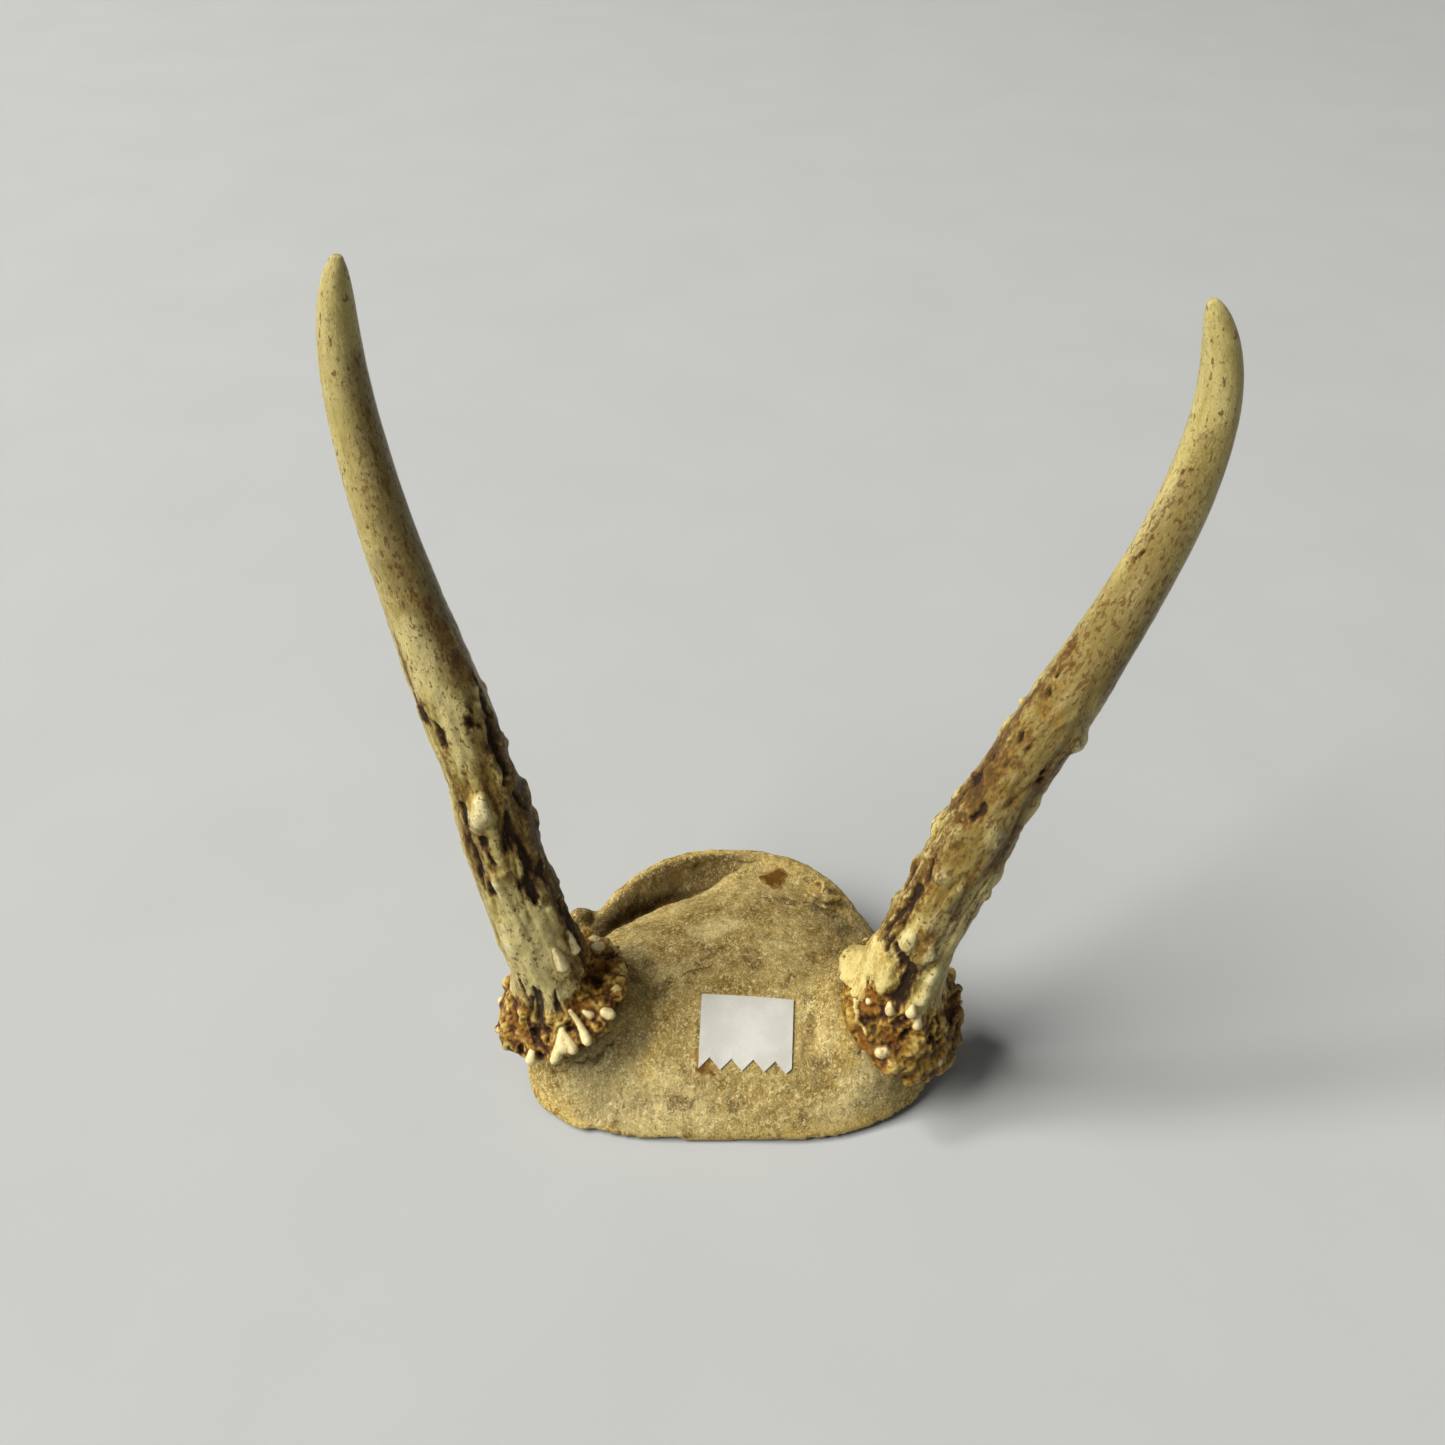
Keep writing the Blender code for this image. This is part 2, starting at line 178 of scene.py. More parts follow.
# Furrows, brown stains and amber patches on the beams: chains of (station, angle, width).
FURROWS = {
    "antler_left": (
        ((91, 228, 0.6), (87, 222, 0.6)), ((86, 230, 2), (84.5, 234, 2.3)),
        ((83, 246, 1), (80, 250, 2), (77, 251, 1.4)),
        ((63, 243, 1.2), (57, 237, 2.2), (51, 235, 2.6), (45, 235, 2.2), (42, 236, 1)),
        ((55, 264, 0.9), (49, 264, 1)),
        ((60, 308, 1), (55, 309, 2.6), (50, 309, 3.4), (46, 313, 3.6), (40, 309, 2.8), (36, 307, 1)),
        ((79, 333, 1.6), (76, 340, 2.2), (70, 335, 2.2), (66, 328, 1.6)), ((82, 316, 2.2), (80, 319, 2)),
        ((46, 339, 1.6), (42, 340, 2.8), (38, 341, 2)), ((62, 342, 1.4), (58, 344, 1.4)),
        ((44, 244, 1), (41, 250, 1.8)), ((32, 350, 2.2), (22, 350, 3), (14, 346, 2)),
        ((13, 283, 0.6), (9, 282, 1.6), (5, 280, 2.6)), ((15, 258, 0.6), (10, 258, 1.6), (6, 257, 2.8)),
        ((17, 234, 0.7), (11, 236, 1.8), (7, 238, 2.8)), ((88, 352, 1.4), (80, 350, 1.8)),
        ((32, 20, 2), (20, 30, 3)),
    ),
    "antler_right": (
        ((46, 207, 1), (40, 205, 1.2), (33, 208, 2), (30, 203, 2.8), (25, 202, 2.4), (22, 210, 1.6)),
        ((24, 222, 1.4), (23, 240, 2.4), (20, 262, 4)), ((20, 262, 3.2), (14, 258, 3), (10, 256, 1.8)),
        ((73.5, 285, 1.8),), ((76, 276, 1),), ((128, 222, 0.6), (121, 204, 0.6)),
        ((97.5, 202, 0.7), (95, 202, 0.9)), ((63, 228, 1), (60, 226, 1.2), (58, 216, 1)), ((57, 206, 1),),
        ((80, 208, 1.2), (78, 210, 1.2)), ((79, 232, 0.9),), ((93, 208, 0.9), (90, 206, 1.4)),
        ((40, 168, 2), (36, 178, 2)), ((72, 184, 1), (60, 182, 1)),
    ),
}
STAINS = {
    "antler_left": (
        ((93, 330, 1.8),), ((89, 342, 2.4),), ((85, 328, 1.8),), ((83, 306, 1.2),),
        ((98, 322, 2), (94, 326, 3)), ((84, 316, 3), (79, 320, 3)),
        ((80, 332, 4), (74, 342, 7), (66, 340, 8), (56, 344, 6), (46, 342, 7), (38, 342, 7)),
        ((38, 342, 6), (28, 350, 6), (14, 346, 6)), ((66, 300, 4), (58, 312, 7), (48, 312, 8), (40, 310, 6)),
        ((134, 313, 1.2), (130, 313, 1.4)), ((117, 292, 1), (114, 294, 1.3)),
        ((113, 302, 1.8), (108, 304, 1.5)), ((148, 318, 0.8), (130, 316, 1.1)),
        ((134, 266, 1.3), (132, 268, 1)), ((107, 313, 2.2), (100, 318, 2.4)), ((125, 306, 1),),
        ((120, 316, 1.6), (117, 316, 1.4)), ((31, 302, 0.5),), ((87, 230, 3), (83, 244, 3), (76, 252, 2.6)),
        ((74, 242, 1.6), (64, 240, 3), (56, 236, 5), (46, 235, 5)), ((56, 262, 2.6), (47, 264, 2.6)),
        ((70, 252, 1),), ((74, 266, 0.7), (66, 266, 0.7)), ((30, 20, 8), (18, 25, 9)),
        ((20, 330, 4), (14, 316, 5)), ((102, 230, 1.2), (92, 224, 1.4)),
    ),
    "antler_right": (
        ((92, 210, 1.8), (89, 206, 2)), ((81, 210, 2.6), (77, 212, 2.6)), ((81, 226, 1.6),),
        ((75, 216, 1.8), (70, 206, 3)), ((70, 217, 3.4), (67, 226, 2)), ((66, 197, 2), (62, 201, 2)),
        ((64, 228, 3), (59, 222, 4), (57, 206, 2.4)), ((67, 260, 2.4),), ((67, 282, 2),),
        ((46, 268, 2.4), (50, 274, 2.4)), ((53, 228, 1.6),), ((87, 218, 1.8),), ((98, 262, 1),),
        ((143, 214, 1),), ((143, 230, 0.9),), ((128, 222, 1.2), (125, 216, 1.1), (121, 204, 1)),
        ((133, 256, 1),), ((110, 282, 1.2),), ((102, 228, 1.2),), ((102, 188, 2), (94, 186, 2)),
        ((98, 208, 1.3),), ((90, 182, 2), (70, 184, 2.6), (58, 180, 2.4)), ((84, 305, 2), (72, 300, 3)),
        ((60, 304, 3), (48, 306, 3.4), (34, 312, 4)), ((48, 205, 3.4), (36, 208, 4.4), (26, 203, 5)),
        ((30, 250, 4), (24, 250, 8), (13, 258, 6)), ((40, 170, 4),), ((76, 280, 1.8), (73, 286, 3)),
        ((74, 222, 4), (66, 232, 4)), ((9, 214, 5),), ((38, 276, 3),), ((112, 206, 1),), ((107, 216, 1),),
    ),
}
AMBERS = {
    "antler_left": (
        ((66, 262, 4), (56, 262, 4)), ((90, 326, 6),), ((46, 258, 3.4),), ((46, 276, 2),), ((57, 330, 3),),
        ((48, 324, 3), (40, 322, 3)), ((72, 322, 3),),
    ),
    "antler_right": (
        ((88, 242, 3.6), (86, 242, 3.6)), ((93, 216, 3),), ((87, 218, 3),), ((46, 213, 3),),
        ((41, 218, 4.6),), ((38, 212, 3.6),), ((29, 252, 6), (25, 256, 6)), ((76, 214, 4), (68, 204, 4)),
        ((9, 212, 4),),
    ),
}
# Broad olive brown haze on the beams, a stain that on the left beam's right side also paints shade:
# chains of (station, angle, width).
HAZES_AND_SHADE = {
    "antler_left": (
        ((158, 334, 4), (148, 330, 7), (138, 326, 8), (125, 320, 9), (117, 318, 10), (106, 322, 11),
         (94, 328, 10)), ((80, 306, 3), (66, 304, 3)),
    ),
    "antler_right": (
        ((150, 256, 4), (136, 250, 6), (122, 244, 8), (112, 240, 10), (98, 236, 11), (80, 236, 12),
         (60, 244, 12), (40, 262, 11), (30, 276, 7)), ((78, 210, 8), (62, 216, 9)),
        ((120, 288, 4), (98, 300, 5)),
    ),
}
# Ivory stretches on the beams, worn clean: chains of (station, angle, width).
IVORIES = {
    "antler_left": (((40, 288, 8), (24, 286, 11), (9, 282, 11)), ((104, 268, 5), (74, 272, 4))),
    "antler_right": (((46, 316, 8), (30, 296, 7)), ((12, 290, 4),)),
}
# Amber, hollow and pale places on the burrs: chains of (angle, reach, width).
BURR_AMBERS = {
    "antler_left": (
        ((226, 13.4, 4.6), (222, 11, 4)), ((312, 15.6, 3),), ((316, 11.6, 4), (330, 12.6, 3)),
        ((10, 12, 5), (30, 13, 5)), ((200, 12, 4),),
    ),
    "antler_right": (
        ((204, 12.8, 3.4), (214, 12, 3)), ((246, 12.4, 3),), ((262, 17.4, 3), (232, 16.8, 2.4)),
        ((250, 11.6, 3), (262, 13, 3)), ((236, 15.4, 3), (216, 15.8, 2)),
    ),
}
BURR_HOLLOWS = {
    "antler_left": (
        ((292, 13.8, 3),), ((266, 11.8, 2.4),), ((358, 11.4, 5), (20, 11.4, 4)), ((312, 14.8, 2.4),),
        ((232, 15.6, 2.6),), ((252, 15.6, 2.4),), ((196, 14.6, 2.4),), ((40, 17, 2), (10, 17.8, 2)),
    ),
    "antler_right": (
        ((218, 13.2, 2.4), (224, 12.4, 2)), ((230, 13.2, 1.4), (238, 14.4, 1.2)), ((348, 14, 2.4),),
        ((334, 15.4, 1.8),), ((355, 9.8, 2.8), (10, 9.9, 2.6)), ((256, 11, 1.6),),
        ((300, 11, 1.8), (310, 12.6, 1.6)),
    ),
}
BURR_PALES = {
    "antler_left": (
        ((46, 15.6, 2), (24, 16.8, 2.4), (0, 16.6, 2), (344, 16, 2)), ((30, 13.4, 2),), ((187, 17.8, 2.4),),
        ((197, 17.4, 1.8),), ((209, 16, 3),),
    ),
    "antler_right": (((150, 16, 5), (172, 16, 4)),),
}
# The cream shelf on the right beam's foot and the thin edge below it: chains of (station, angle, width).
FOOT_PALES = {
    "antler_left": (),
    "antler_right": (
        ((9, 152, 9), (14, 165, 10), (15, 185, 11), (17.5, 208, 10), (19, 228, 6)),
        ((8, 165, 7), (8, 190, 6)), ((4.9, 204, 0.9), (2.6, 219, 0.8), (2.2, 232, 0.8)),
    ),
}
# Olive places on the burrs: chains of (angle, reach, width).
BURR_OLIVES = {
    "antler_left": (((300, 17, 3),),),
    "antler_right": (
        ((275, 14, 9), (315, 15, 10), (345, 15, 8)), ((15, 14, 8), (60, 14, 8)),
        ((222, 12.6, 4), (240, 14, 4)),
    ),
}

# Marks on the hide, seen from above: chains of (x, y, width).
# Dark brown marks; the two chains just in front of the curled flap at the back right are painted shade.
DARK_MARKS_AND_SHADE = (
    ((5.4, 3.4, 1.8), (4.6, 1.4, 1)),
    ((2.6, -1, 2), (2.4, -3.4, 1.6), (4.6, -6.4, 2.2), (6.6, -4.6, 1.6), (4.6, -1.4, 1.4)), ((-42, 13, 13),),
    ((20, 16.4, 3), (27, 16, 4)), ((8, 17.4, 2), (16, 17.6, 2)),
    ((-12.6, -11.2, 1.6), (-10, -8.7, 2), (-6.6, -5.8, 1.4)), ((-9, -5, 1.6), (-3.4, -0.8, 2)),
    ((11.7, -12, 2), (13.5, -8.3, 1.6)), ((18, -21.8, 2.6), (17.6, -19, 1.6)), ((15.6, -35.9, 3.6),),
    ((-0.6, -34, 2.4), (2, -34, 2)), ((-11.9, -30.5, 2.6), (-13, -28, 2)), ((-28, -36, 2),),
    ((-18.2, -13.4, 5),), ((-20.9, -4.4, 5),), ((26, 6, 4), (30, 12, 6)), ((-7.2, -23.7, 3), (-9, -20, 2)),
    ((20.5, -27.8, 3.4),), ((17, -14.7, 4),), ((28, 2, 4), (26, -4, 3)), ((-16, -33.4, 2.4), (-11, -34, 2)),
    ((0, -20, 3), (-1, -26, 2.4)), ((-24, -12, 3),), ((-15.6, -10, 2), (-19, -11.4, 2.4)),
    ((-4.8, -1.6, 2), (-8.8, 1, 2)),
)
GREY_ZONES = (
    ((-36, -28, 7), (-28, -27, 6), (-20, -22, 4)), ((-34, -33, 8), (-24, -33, 7)),
    ((38, -30, 7), (30, -34, 6)), ((28, 14, 10), (22, 18, 7)), ((-22, -6, 5), (-25, 0, 6)),
    ((30, -26, 5), (26, -21, 5)), ((-26, 26, 5), (-18, 31, 5)),
)
YELLOW_ZONES = (
    ((13, -38, 2.4), (26, -36.8, 3), (38, -33, 2.4)), ((21, 24, 5), (29, 18, 4)), ((18, 32, 4), (27, 26, 4)),
    ((8, 33, 5), (22, 30, 6)), ((-46, -30, 4), (-38, -36, 4)), ((26, -22, 4), (27, -28, 4)), ((-1, 26, 5),),
    ((-21, -29, 5), (-19, -24, 3)),
    ((-30, 25, 2), (-24, 30.5, 3), (-14, 35, 3), (0, 37, 2.4), (12, 35.6, 2.4)),
)
# Pale patches; those along the front also paint the light that falls on the hide's front slope.
BRIGHT_ZONES = (
    ((-36, -31, 14), (-22, -35, 10), (-8, -35, 9)), ((-8, 4, 6), (-2, 8, 6)), ((24, -36, 8), (32, -31, 9)),
)
SCABS = (
    ((11.8, 29, 2.8), (10.2, 25.8, 5.4), (9.6, 24.4, 4)), ((-7.6, -28, 3.8),), ((24, -27, 1),),
    ((26.4, -22, 0.8),),
)
# Creases: cut into the hide and painted darker as shade.
SHADED_CREASES = (
    ((-37, -28.4, 0.8), (-34.4, -28.2, 1.2), (-31.4, -27, 1.2), (-28.8, -25.8, 0.8)),
    ((-45.4, -25.3, 0.5), (-43.9, -27.2, 0.6), (-40.6, -28.5, 0.6), (-37.5, -28.5, 0.6)),
    ((32.8, -10, 0.8), (31, -15, 0.8), (30, -20, 0.6)), ((9.3, -22.7, 0.5), (9.8, -30, 0.5)),
    ((28.3, -16.8, 0.6), (29.8, -28.5, 0.6)), ((-13, -9.4, 0.6), (-9.6, -7.4, 0.9), (-6.4, -5.2, 0.6)),
    ((-44, -33, 0.6), (-36, -36.6, 0.7), (-27, -37.6, 0.5)),
    ((18.4, 18.4, 1), (22, 17.6, 1.4), (27, 17.4, 1)), ((2.2, 27.1, 0.8),), ((3.7, 28, 0.7),),
    ((5.9, 28.4, 0.8),), ((12.5, 18.8, 1.2), (14, 18.6, 1)),
    ((-12, 30.6, 0.7), (-6, 32.2, 0.9), (2.4, 31.8, 0.8), (9, 31.4, 0.6)),
)
# The fold where the hide's rear lip turns up: (bearing, share of the way to the rim, depth).
FOLD = (
    (100, 0.95, 0), (125, 0.93, 0), (150, 0.9, 0), (170, 0.86, 0), (184, 0.77, 0), (194, 0.715, 0.6),
    (203, 0.715, 1.3), (213, 0.735, 1.7), (223, 0.76, 2), (233, 0.785, 2.3), (248, 0.79, 2.4),
    (262, 0.78, 1.6), (274, 0.78, 0),
)
# Curled bits of hide on its upper face: chains of (x, y, z, width).
CURLS = (
    ((-42, 13, 20.4, 4), (-40.5, 14.5, 21.9, 4), (-38.7, 16, 20.6, 4), (-37.4, 18, 17.4, 3.4)),
    ((-41, 12, 18.6, 3.4), (-38.6, 13.4, 19, 3)),
    ((19.6, 21.4, 23.4, 1.6), (21.4, 19.8, 23.3, 2.2), (24.4, 19.4, 22.8, 2.2), (27.6, 20, 21.9, 1.6)),
    ((21.2, 24, 23.9, 1.3), (22.8, 24.7, 24.4, 1.5), (23.8, 23.4, 24.6, 1.5), (23.4, 21.8, 24, 1.4)),
    ((-44, -31.6, 3.4, 1.4), (-40, -34.4, 2, 1.6), (-36, -36, 1.6, 1)),
)

# The paper label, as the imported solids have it, but a little closer to the hide.
LABEL_TOP_MIDDLE = (3.1, -14.6)
LABEL_TURN = -3
LABEL_WIDTH, LABEL_LENGTH, LABEL_TOOTH, LABEL_TEETH, LABEL_THICKNESS = 22.2, 17.8, 2.8, 4.25, 0.25
LABEL_LIFT, LABEL_CURL, LABEL_PACE, LABEL_SLACK = 0.2, 0.25, 0.25, 4

# Lights as (name, spot, width, watts, tint), and the camera. Lengths here are in metres, but for the lens,
# whose length is given in the photo's pixels, and the sensor.
LIGHTS = (
    ("window", (-5, -1.4, 5.3), 5, 925, (1, 0.985, 0.955)),
    ("glint", (-2, 0.5, 3.2), 0.6, 46, (1, 1, 1)),
    ("fill", (1, -3, 5), 4, 18, (0.95, 0.98, 1)),
)
LIGHT_AIM = (0, 0, 0.05)
ROOM_TINT, ROOM_STRENGTH = (0.95, 0.96, 0.97, 1), 0.09
FLOOR_HALF_WIDTH = 12
CAMERA_SPOT, CAMERA_LEAN = (-0.003, -0.231, 0.293), 50
SENSOR_WIDTH, PHOTO_PIXELS, LENS_PIXELS = 36, 1445, 1400
NEAR_CLIP, FAR_CLIP = 0.01, 60


def fade(start, end, at):
    """0 before start and 1 after end, with a smooth rise between."""
    t = np.clip((np.asarray(at, float) - start) / (end - start), 0, 1)
    return t * t * (3 - 2 * t)


def within(at, rise, fall):
    """1 between the rise and the fall and 0 outside them. Each is a (start, end)."""
    return fade(*rise, at) * (1 - fade(*fall, at))


def read_curve(places, values, at):
    """Reads the smooth curve that goes through the given places and values."""
    places, values, at = np.asarray(places, float), np.asarray(values, float), np.asarray(at, float)
    slopes = np.gradient(values, places)
    i = np.clip(np.searchsorted(places, at) - 1, 0, len(places) - 2)
    span = places[i + 1] - places[i]
    t = np.clip((at - places[i]) / span, 0, 1)
    from_here = (1 - t) ** 2 * ((1 + 2 * t) * values[i] + t * span * slopes[i])
    return from_here + t**2 * ((3 - 2 * t) * values[i + 1] - (1 - t) * span * slopes[i + 1])


def read_round(values, bearing):
    """Reads a table that goes once round, from bearing 0 in even steps."""
    turns = np.arange(-2, len(values) + 3)
    return read_curve(turns * 360 / len(values), np.take(values, turns, mode="wrap"), np.mod(bearing, 360))


def leaning(side, out, forward):
    """Unit vectors that lean outwards and then towards the viewer from straight up."""
    out, forward = np.radians(out), np.radians(forward)
    return np.stack([side * np.sin(out) + 0 * forward, -np.cos(out) * np.sin(forward),
                     np.cos(out) * np.cos(forward)], -1)


def unit(vectors):
    return vectors / np.linalg.norm(vectors, axis=-1, keepdims=True)


# Grain: smooth noise that is the same on every run.
grain_dice = np.random.default_rng(11)
GRAIN_SIZE, GRAIN_SHIFT, GRAIN_STRENGTH = 256, 37.7, 1.7
GRAIN_ORDER = grain_dice.permutation(GRAIN_SIZE)
GRAIN_SLOPES = unit(grain_dice.normal(size=(GRAIN_SIZE, 3)))


def grain(at, wave, layers, seed):
    """Smooth noise from about -1 to 1, whose bumps are about a wave wide, with finer layers on top."""
    total, size, mask = 0, 1, GRAIN_SIZE - 1
    for layer in range(layers):
        points = np.asarray(at, float) / wave * 2**layer + GRAIN_SHIFT * (seed + layer)
        cell = np.floor(points).astype(int)
        part = points - cell
        ease = part**3 * (part * (part * 6 - 15) + 10)
        height = 0
        for corner in np.ndindex(2, 2, 2):
            x, y, z = (cell + corner).T & mask
            pick = GRAIN_ORDER[(GRAIN_ORDER[(GRAIN_ORDER[x] + y) & mask] + z) & mask]
            share = np.prod(np.where(corner, ease, 1 - ease), axis=1)
            height = height + share * (GRAIN_SLOPES[pick] * (part - corner)).sum(1)
        total, size = total + GRAIN_STRENGTH * height * size, size / 2
    return total


def creased(at, wave, layers, seed):
    """Noise with sharp valleys: 0 along them and up to 1 between."""
    return np.clip(np.abs(grain(at, wave, layers, seed)) * 1.6, 0, 1)


class BeamLine:
    """The middle line of one antler, with the directions across it at angle 0 and angle 90."""

    STEP = 0.5
    FOOT = -8
    # Points are placed in this many parts, to save memory.
    PARTS = 80

    def __init__(self, spike):
        self.square = leaning(spike.side, spike.burr_out, spike.burr_forward)
        self.centre = np.array(spike.burr_centre, float)
        even = np.linspace(0, BEAM_LENGTH, len(BACK_LEAN))
        halfway = np.arange(self.STEP / 2, BEAM_LENGTH, self.STEP)
        outwards, backwards = (read_curve(even, lean, halfway) for lean in (spike.outward_lean, BACK_LEAN))
        steps = leaning(spike.side, outwards, -backwards)
        below = np.arange(self.FOOT, 0, self.STEP)
        self.stations = np.concatenate([below, [0], halfway + self.STEP / 2])
        self.middles = np.concatenate([
            self.centre + self.square * below[:, None], [self.centre],
            self.centre + np.cumsum(steps * self.STEP, 0)])
        headings = np.concatenate([np.tile(self.square, (len(below) + 1, 1)), steps])
        turned = fade(0, BURR_TO_BEAM, self.stations)[:, None]
        self.headings = unit(self.square * (1 - turned) + headings * turned)
        self.across, self.upright = self.crossing(self.headings)
        self.burr_across, self.burr_upright = self.crossing(self.square)

    def crossing(self, heading):
        """The directions at angle 0 and angle 90 across a heading."""
        across = unit(np.cross((0, 1, 0), heading))
        return across, np.cross(heading, across)

    def spots(self, station, angle, reach):
        """Points at those stations and angles, that far from the middle line."""
        middle, across, upright = (
            np.stack([np.interp(station, self.stations, axis) for axis in lines.T], -1)
            for lines in (self.middles, self.across, self.upright))
        turn = np.radians(angle)[..., None]
        return middle + (across * np.cos(turn) + upright * np.sin(turn)) * np.asarray(reach)[..., None]

    def burr_spots(self, angle, reach, lift):
        """Points over the burr's flat, by angle and reach from its axis and height above its middle."""
        turn = np.radians(angle)[..., None]
        ray = self.burr_across * np.cos(turn) + self.burr_upright * np.sin(turn)
        return self.centre + ray * np.asarray(reach)[..., None] + self.square * np.asarray(lift)[..., None]

    def places(self, at):
        """Station, angle and distance from the middle line of each point."""
        nearest = np.concatenate([
            ((part[:, None] - self.middles) ** 2).sum(2).argmin(1)
            for part in np.array_split(at, self.PARTS)])
        gap = at - self.middles[nearest]
        side, back = (gap * self.across[nearest]).sum(1), (gap * self.upright[nearest]).sum(1)
        station = self.stations[nearest] + (gap * self.headings[nearest]).sum(1)
        return station, np.degrees(np.arctan2(back, side)) % 360, np.hypot(side, back)

    def burr_places(self, at):
        """Angle, reach from the burr's axis and height above its middle of each point."""
        gap = at - self.centre
        side, back = gap @ self.burr_across, gap @ self.burr_upright
        return np.degrees(np.arctan2(back, side)) % 360, np.hypot(side, back), gap @ self.square


def stretches(spots, halves):
    """A chain's (start, end, first half width, last half width). A lone spot is one stretch of no length."""
    last = len(spots) - 1
    for i in range(max(last, 1)):
        j = min(i + 1, last)
        yield spots[i], spots[j], halves[i], halves[j]


def near_chains(at, chains):
    """How near the points are to the chains of (spots, half widths): 1 on one, 0 at its edge, less beyond."""
    best = np.full(len(at), NOWHERE_NEAR)
    for spots, halves in chains:
        for start, end, first, last in stretches(spots, halves):
            span = end - start
            t = np.clip((at - start) @ span / max(span @ span, LEAST_SQUARE), 0, 1)
            half = first + (last - first) * t
            best = np.maximum(best, 1 - np.linalg.norm(at - start - t[:, None] * span, axis=1) / half)
    return best


def beam_chains(line, table, lift=0):
    """A beam's table as chains in space, raised from its skin by lift times their width."""
    chains = []
    for rows in table:
        station, angle, width = np.array(rows, float).T
        reach = read_curve(BEAM_STATIONS, BEAM_RADII, station) + lift * width
        chains.append((line.spots(station, angle, reach), width / 2))
    return chains


def burr_chains(line, table, lift=0):
    """A burr's table as chains in space, raised from its upper face by lift times their width."""
    chains = []
    for rows in table:
        angle, reach, width = np.array(rows, float).T
        height = np.interp(reach, FACE_REACHES, FACE_HEIGHTS)
        chains.append((line.burr_spots(angle, reach, height + lift * width), width / 2))
    return chains


def closed_tube(grid, place):
    """A closed skin: a grid that place(turn, rise) bends round into a tube, with its two ends filled."""
    shape = bmesh.new()
    bmesh.ops.create_grid(shape, x_segments=grid[0], y_segments=grid[1], size=0.5)
    flat = np.array([corner.co for corner in shape.verts]) + 0.5
    for corner, spot in zip(shape.verts, place(flat[:, 0], flat[:, 1]) * MM):
        corner.co = spot
    bmesh.ops.remove_doubles(shape, verts=shape.verts, dist=WELD * MM)
    bmesh.ops.holes_fill(shape, edges=shape.edges, sides=0)
    bmesh.ops.recalc_face_normals(shape, faces=shape.faces)
    return shape


def add_chain(shape, spots, halves):
    """A knob: beads from spot to spot, close enough to melt into one."""
    for start, end, first, last in stretches(spots, halves):
        beads = max(int(np.linalg.norm(end - start) / (BEAD_GAP * (first + last) / 2)), 1)
        for t in np.linspace(0, 1, beads + 1):
            bmesh.ops.create_icosphere(
                shape, subdivisions=2, radius=(first + (last - first) * t) * MM,
                matrix=Matrix.Translation(Vector(start + (end - start) * t) * MM))


def put_in_order(shape):
    """Gives a bmesh's parts the same order on every run, which an extrusion's new sides don't have."""
    for parts, key in (
            (shape.verts, lambda corner: tuple(corner.co)),
            (shape.edges, lambda edge: sorted(corner.index for corner in edge.verts)),
            (shape.faces, lambda face: sorted(corner.index for corner in face.verts))):
        for place, part in enumerate(sorted(parts, key=key)):
            part.index = place
        parts.sort()


def new_mesh(name, shape):
    mesh = bpy.data.meshes.new(name)
    shape.to_mesh(mesh)
    shape.free()
    return mesh


def new_object(name, data):
    obj = bpy.data.objects.new(name, data)
    bpy.context.scene.collection.objects.link(obj)
    return obj


def place_object(name, mesh, node, surface):
    obj = new_object(name, mesh)
    mesh.materials.clear()
    mesh.materials.append(surface)
    mesh.shade_smooth()
    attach(obj, "root")
    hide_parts(node)


def fused(shape, voxel):
    """Melts the overlapping bodies of a bmesh into one skin of even, small faces."""
    obj = new_object("loose", new_mesh("loose", shape))
    remesh = obj.modifiers.new("melt", "REMESH")
    remesh.mode = "VOXEL"
    remesh.voxel_size = voxel * MM
    grown = bpy.data.meshes.new_from_object(obj.evaluated_get(bpy.context.evaluated_depsgraph_get()))
    bpy.data.objects.remove(obj)
    return grown


class Clay:
    """A mesh's points in millimetres, to push about."""

    def __init__(self, mesh):
        self.mesh = mesh
        self.at = np.empty(len(mesh.vertices) * 3)
        mesh.vertices.foreach_get("co", self.at)
        self.at = self.at.reshape(-1, 3) / MM
        ends = np.empty(len(mesh.edges) * 2, np.int32)
        mesh.edges.foreach_get("vertices", ends)
        self.start, self.end = ends.reshape(-1, 2).T
        self.links = np.maximum(np.bincount(ends, minlength=len(self.at)), 1)

    def settle(self):
        """Writes the points back into the mesh."""
        self.mesh.vertices.foreach_set("co", (self.at * MM).ravel())
        self.mesh.update()

    def normals(self):
        self.settle()
        normals = np.empty(len(self.at) * 3, np.float32)
        self.mesh.vertex_normals.foreach_get("vector", normals)
        return normals.reshape(-1, 3).astype(float)

    def push(self, heights):
        self.at += self.normals() * heights[:, None]

    def spread(self, values, rounds):
        """Averages values with their neighbours', that many times."""
        columns = np.asarray(values, float).reshape(len(self.at), -1).T.copy()
        for _ in range(rounds):
            for i, column in enumerate(columns):
                sums = np.bincount(self.start, column[self.end], len(self.at))
                sums += np.bincount(self.end, column[self.start], len(self.at))
                columns[i] = 0.5 * column + 0.5 * sums / self.links
        return columns.T.reshape(np.shape(values))

    def smooth(self, rounds, share=1):
        """Spreads the points themselves, all the way where share is 1."""
        self.at += (self.spread(self.at, rounds) - self.at) * np.reshape(share, (-1, 1))

    def rest_on_floor(self):
        self.at[:, 2] = np.maximum(self.at[:, 2], 0)

    def standing(self, rounds):
        """How far each point stands out of the surface about it, in millimetres; negative in a hollow."""
        return ((self.at - self.spread(self.at, rounds)) * self.normals()).sum(1)

    def record(self, **fields):
        """Keeps values at the points, for a material to read."""
        for name, values in fields.items():
            kind, key = ("FLOAT", "value") if values.ndim == 1 else ("FLOAT_VECTOR", "vector")
            kept = self.mesh.attributes.new(name, kind, "POINT")
            kept.data.foreach_set(key, values.astype(np.float32).ravel())


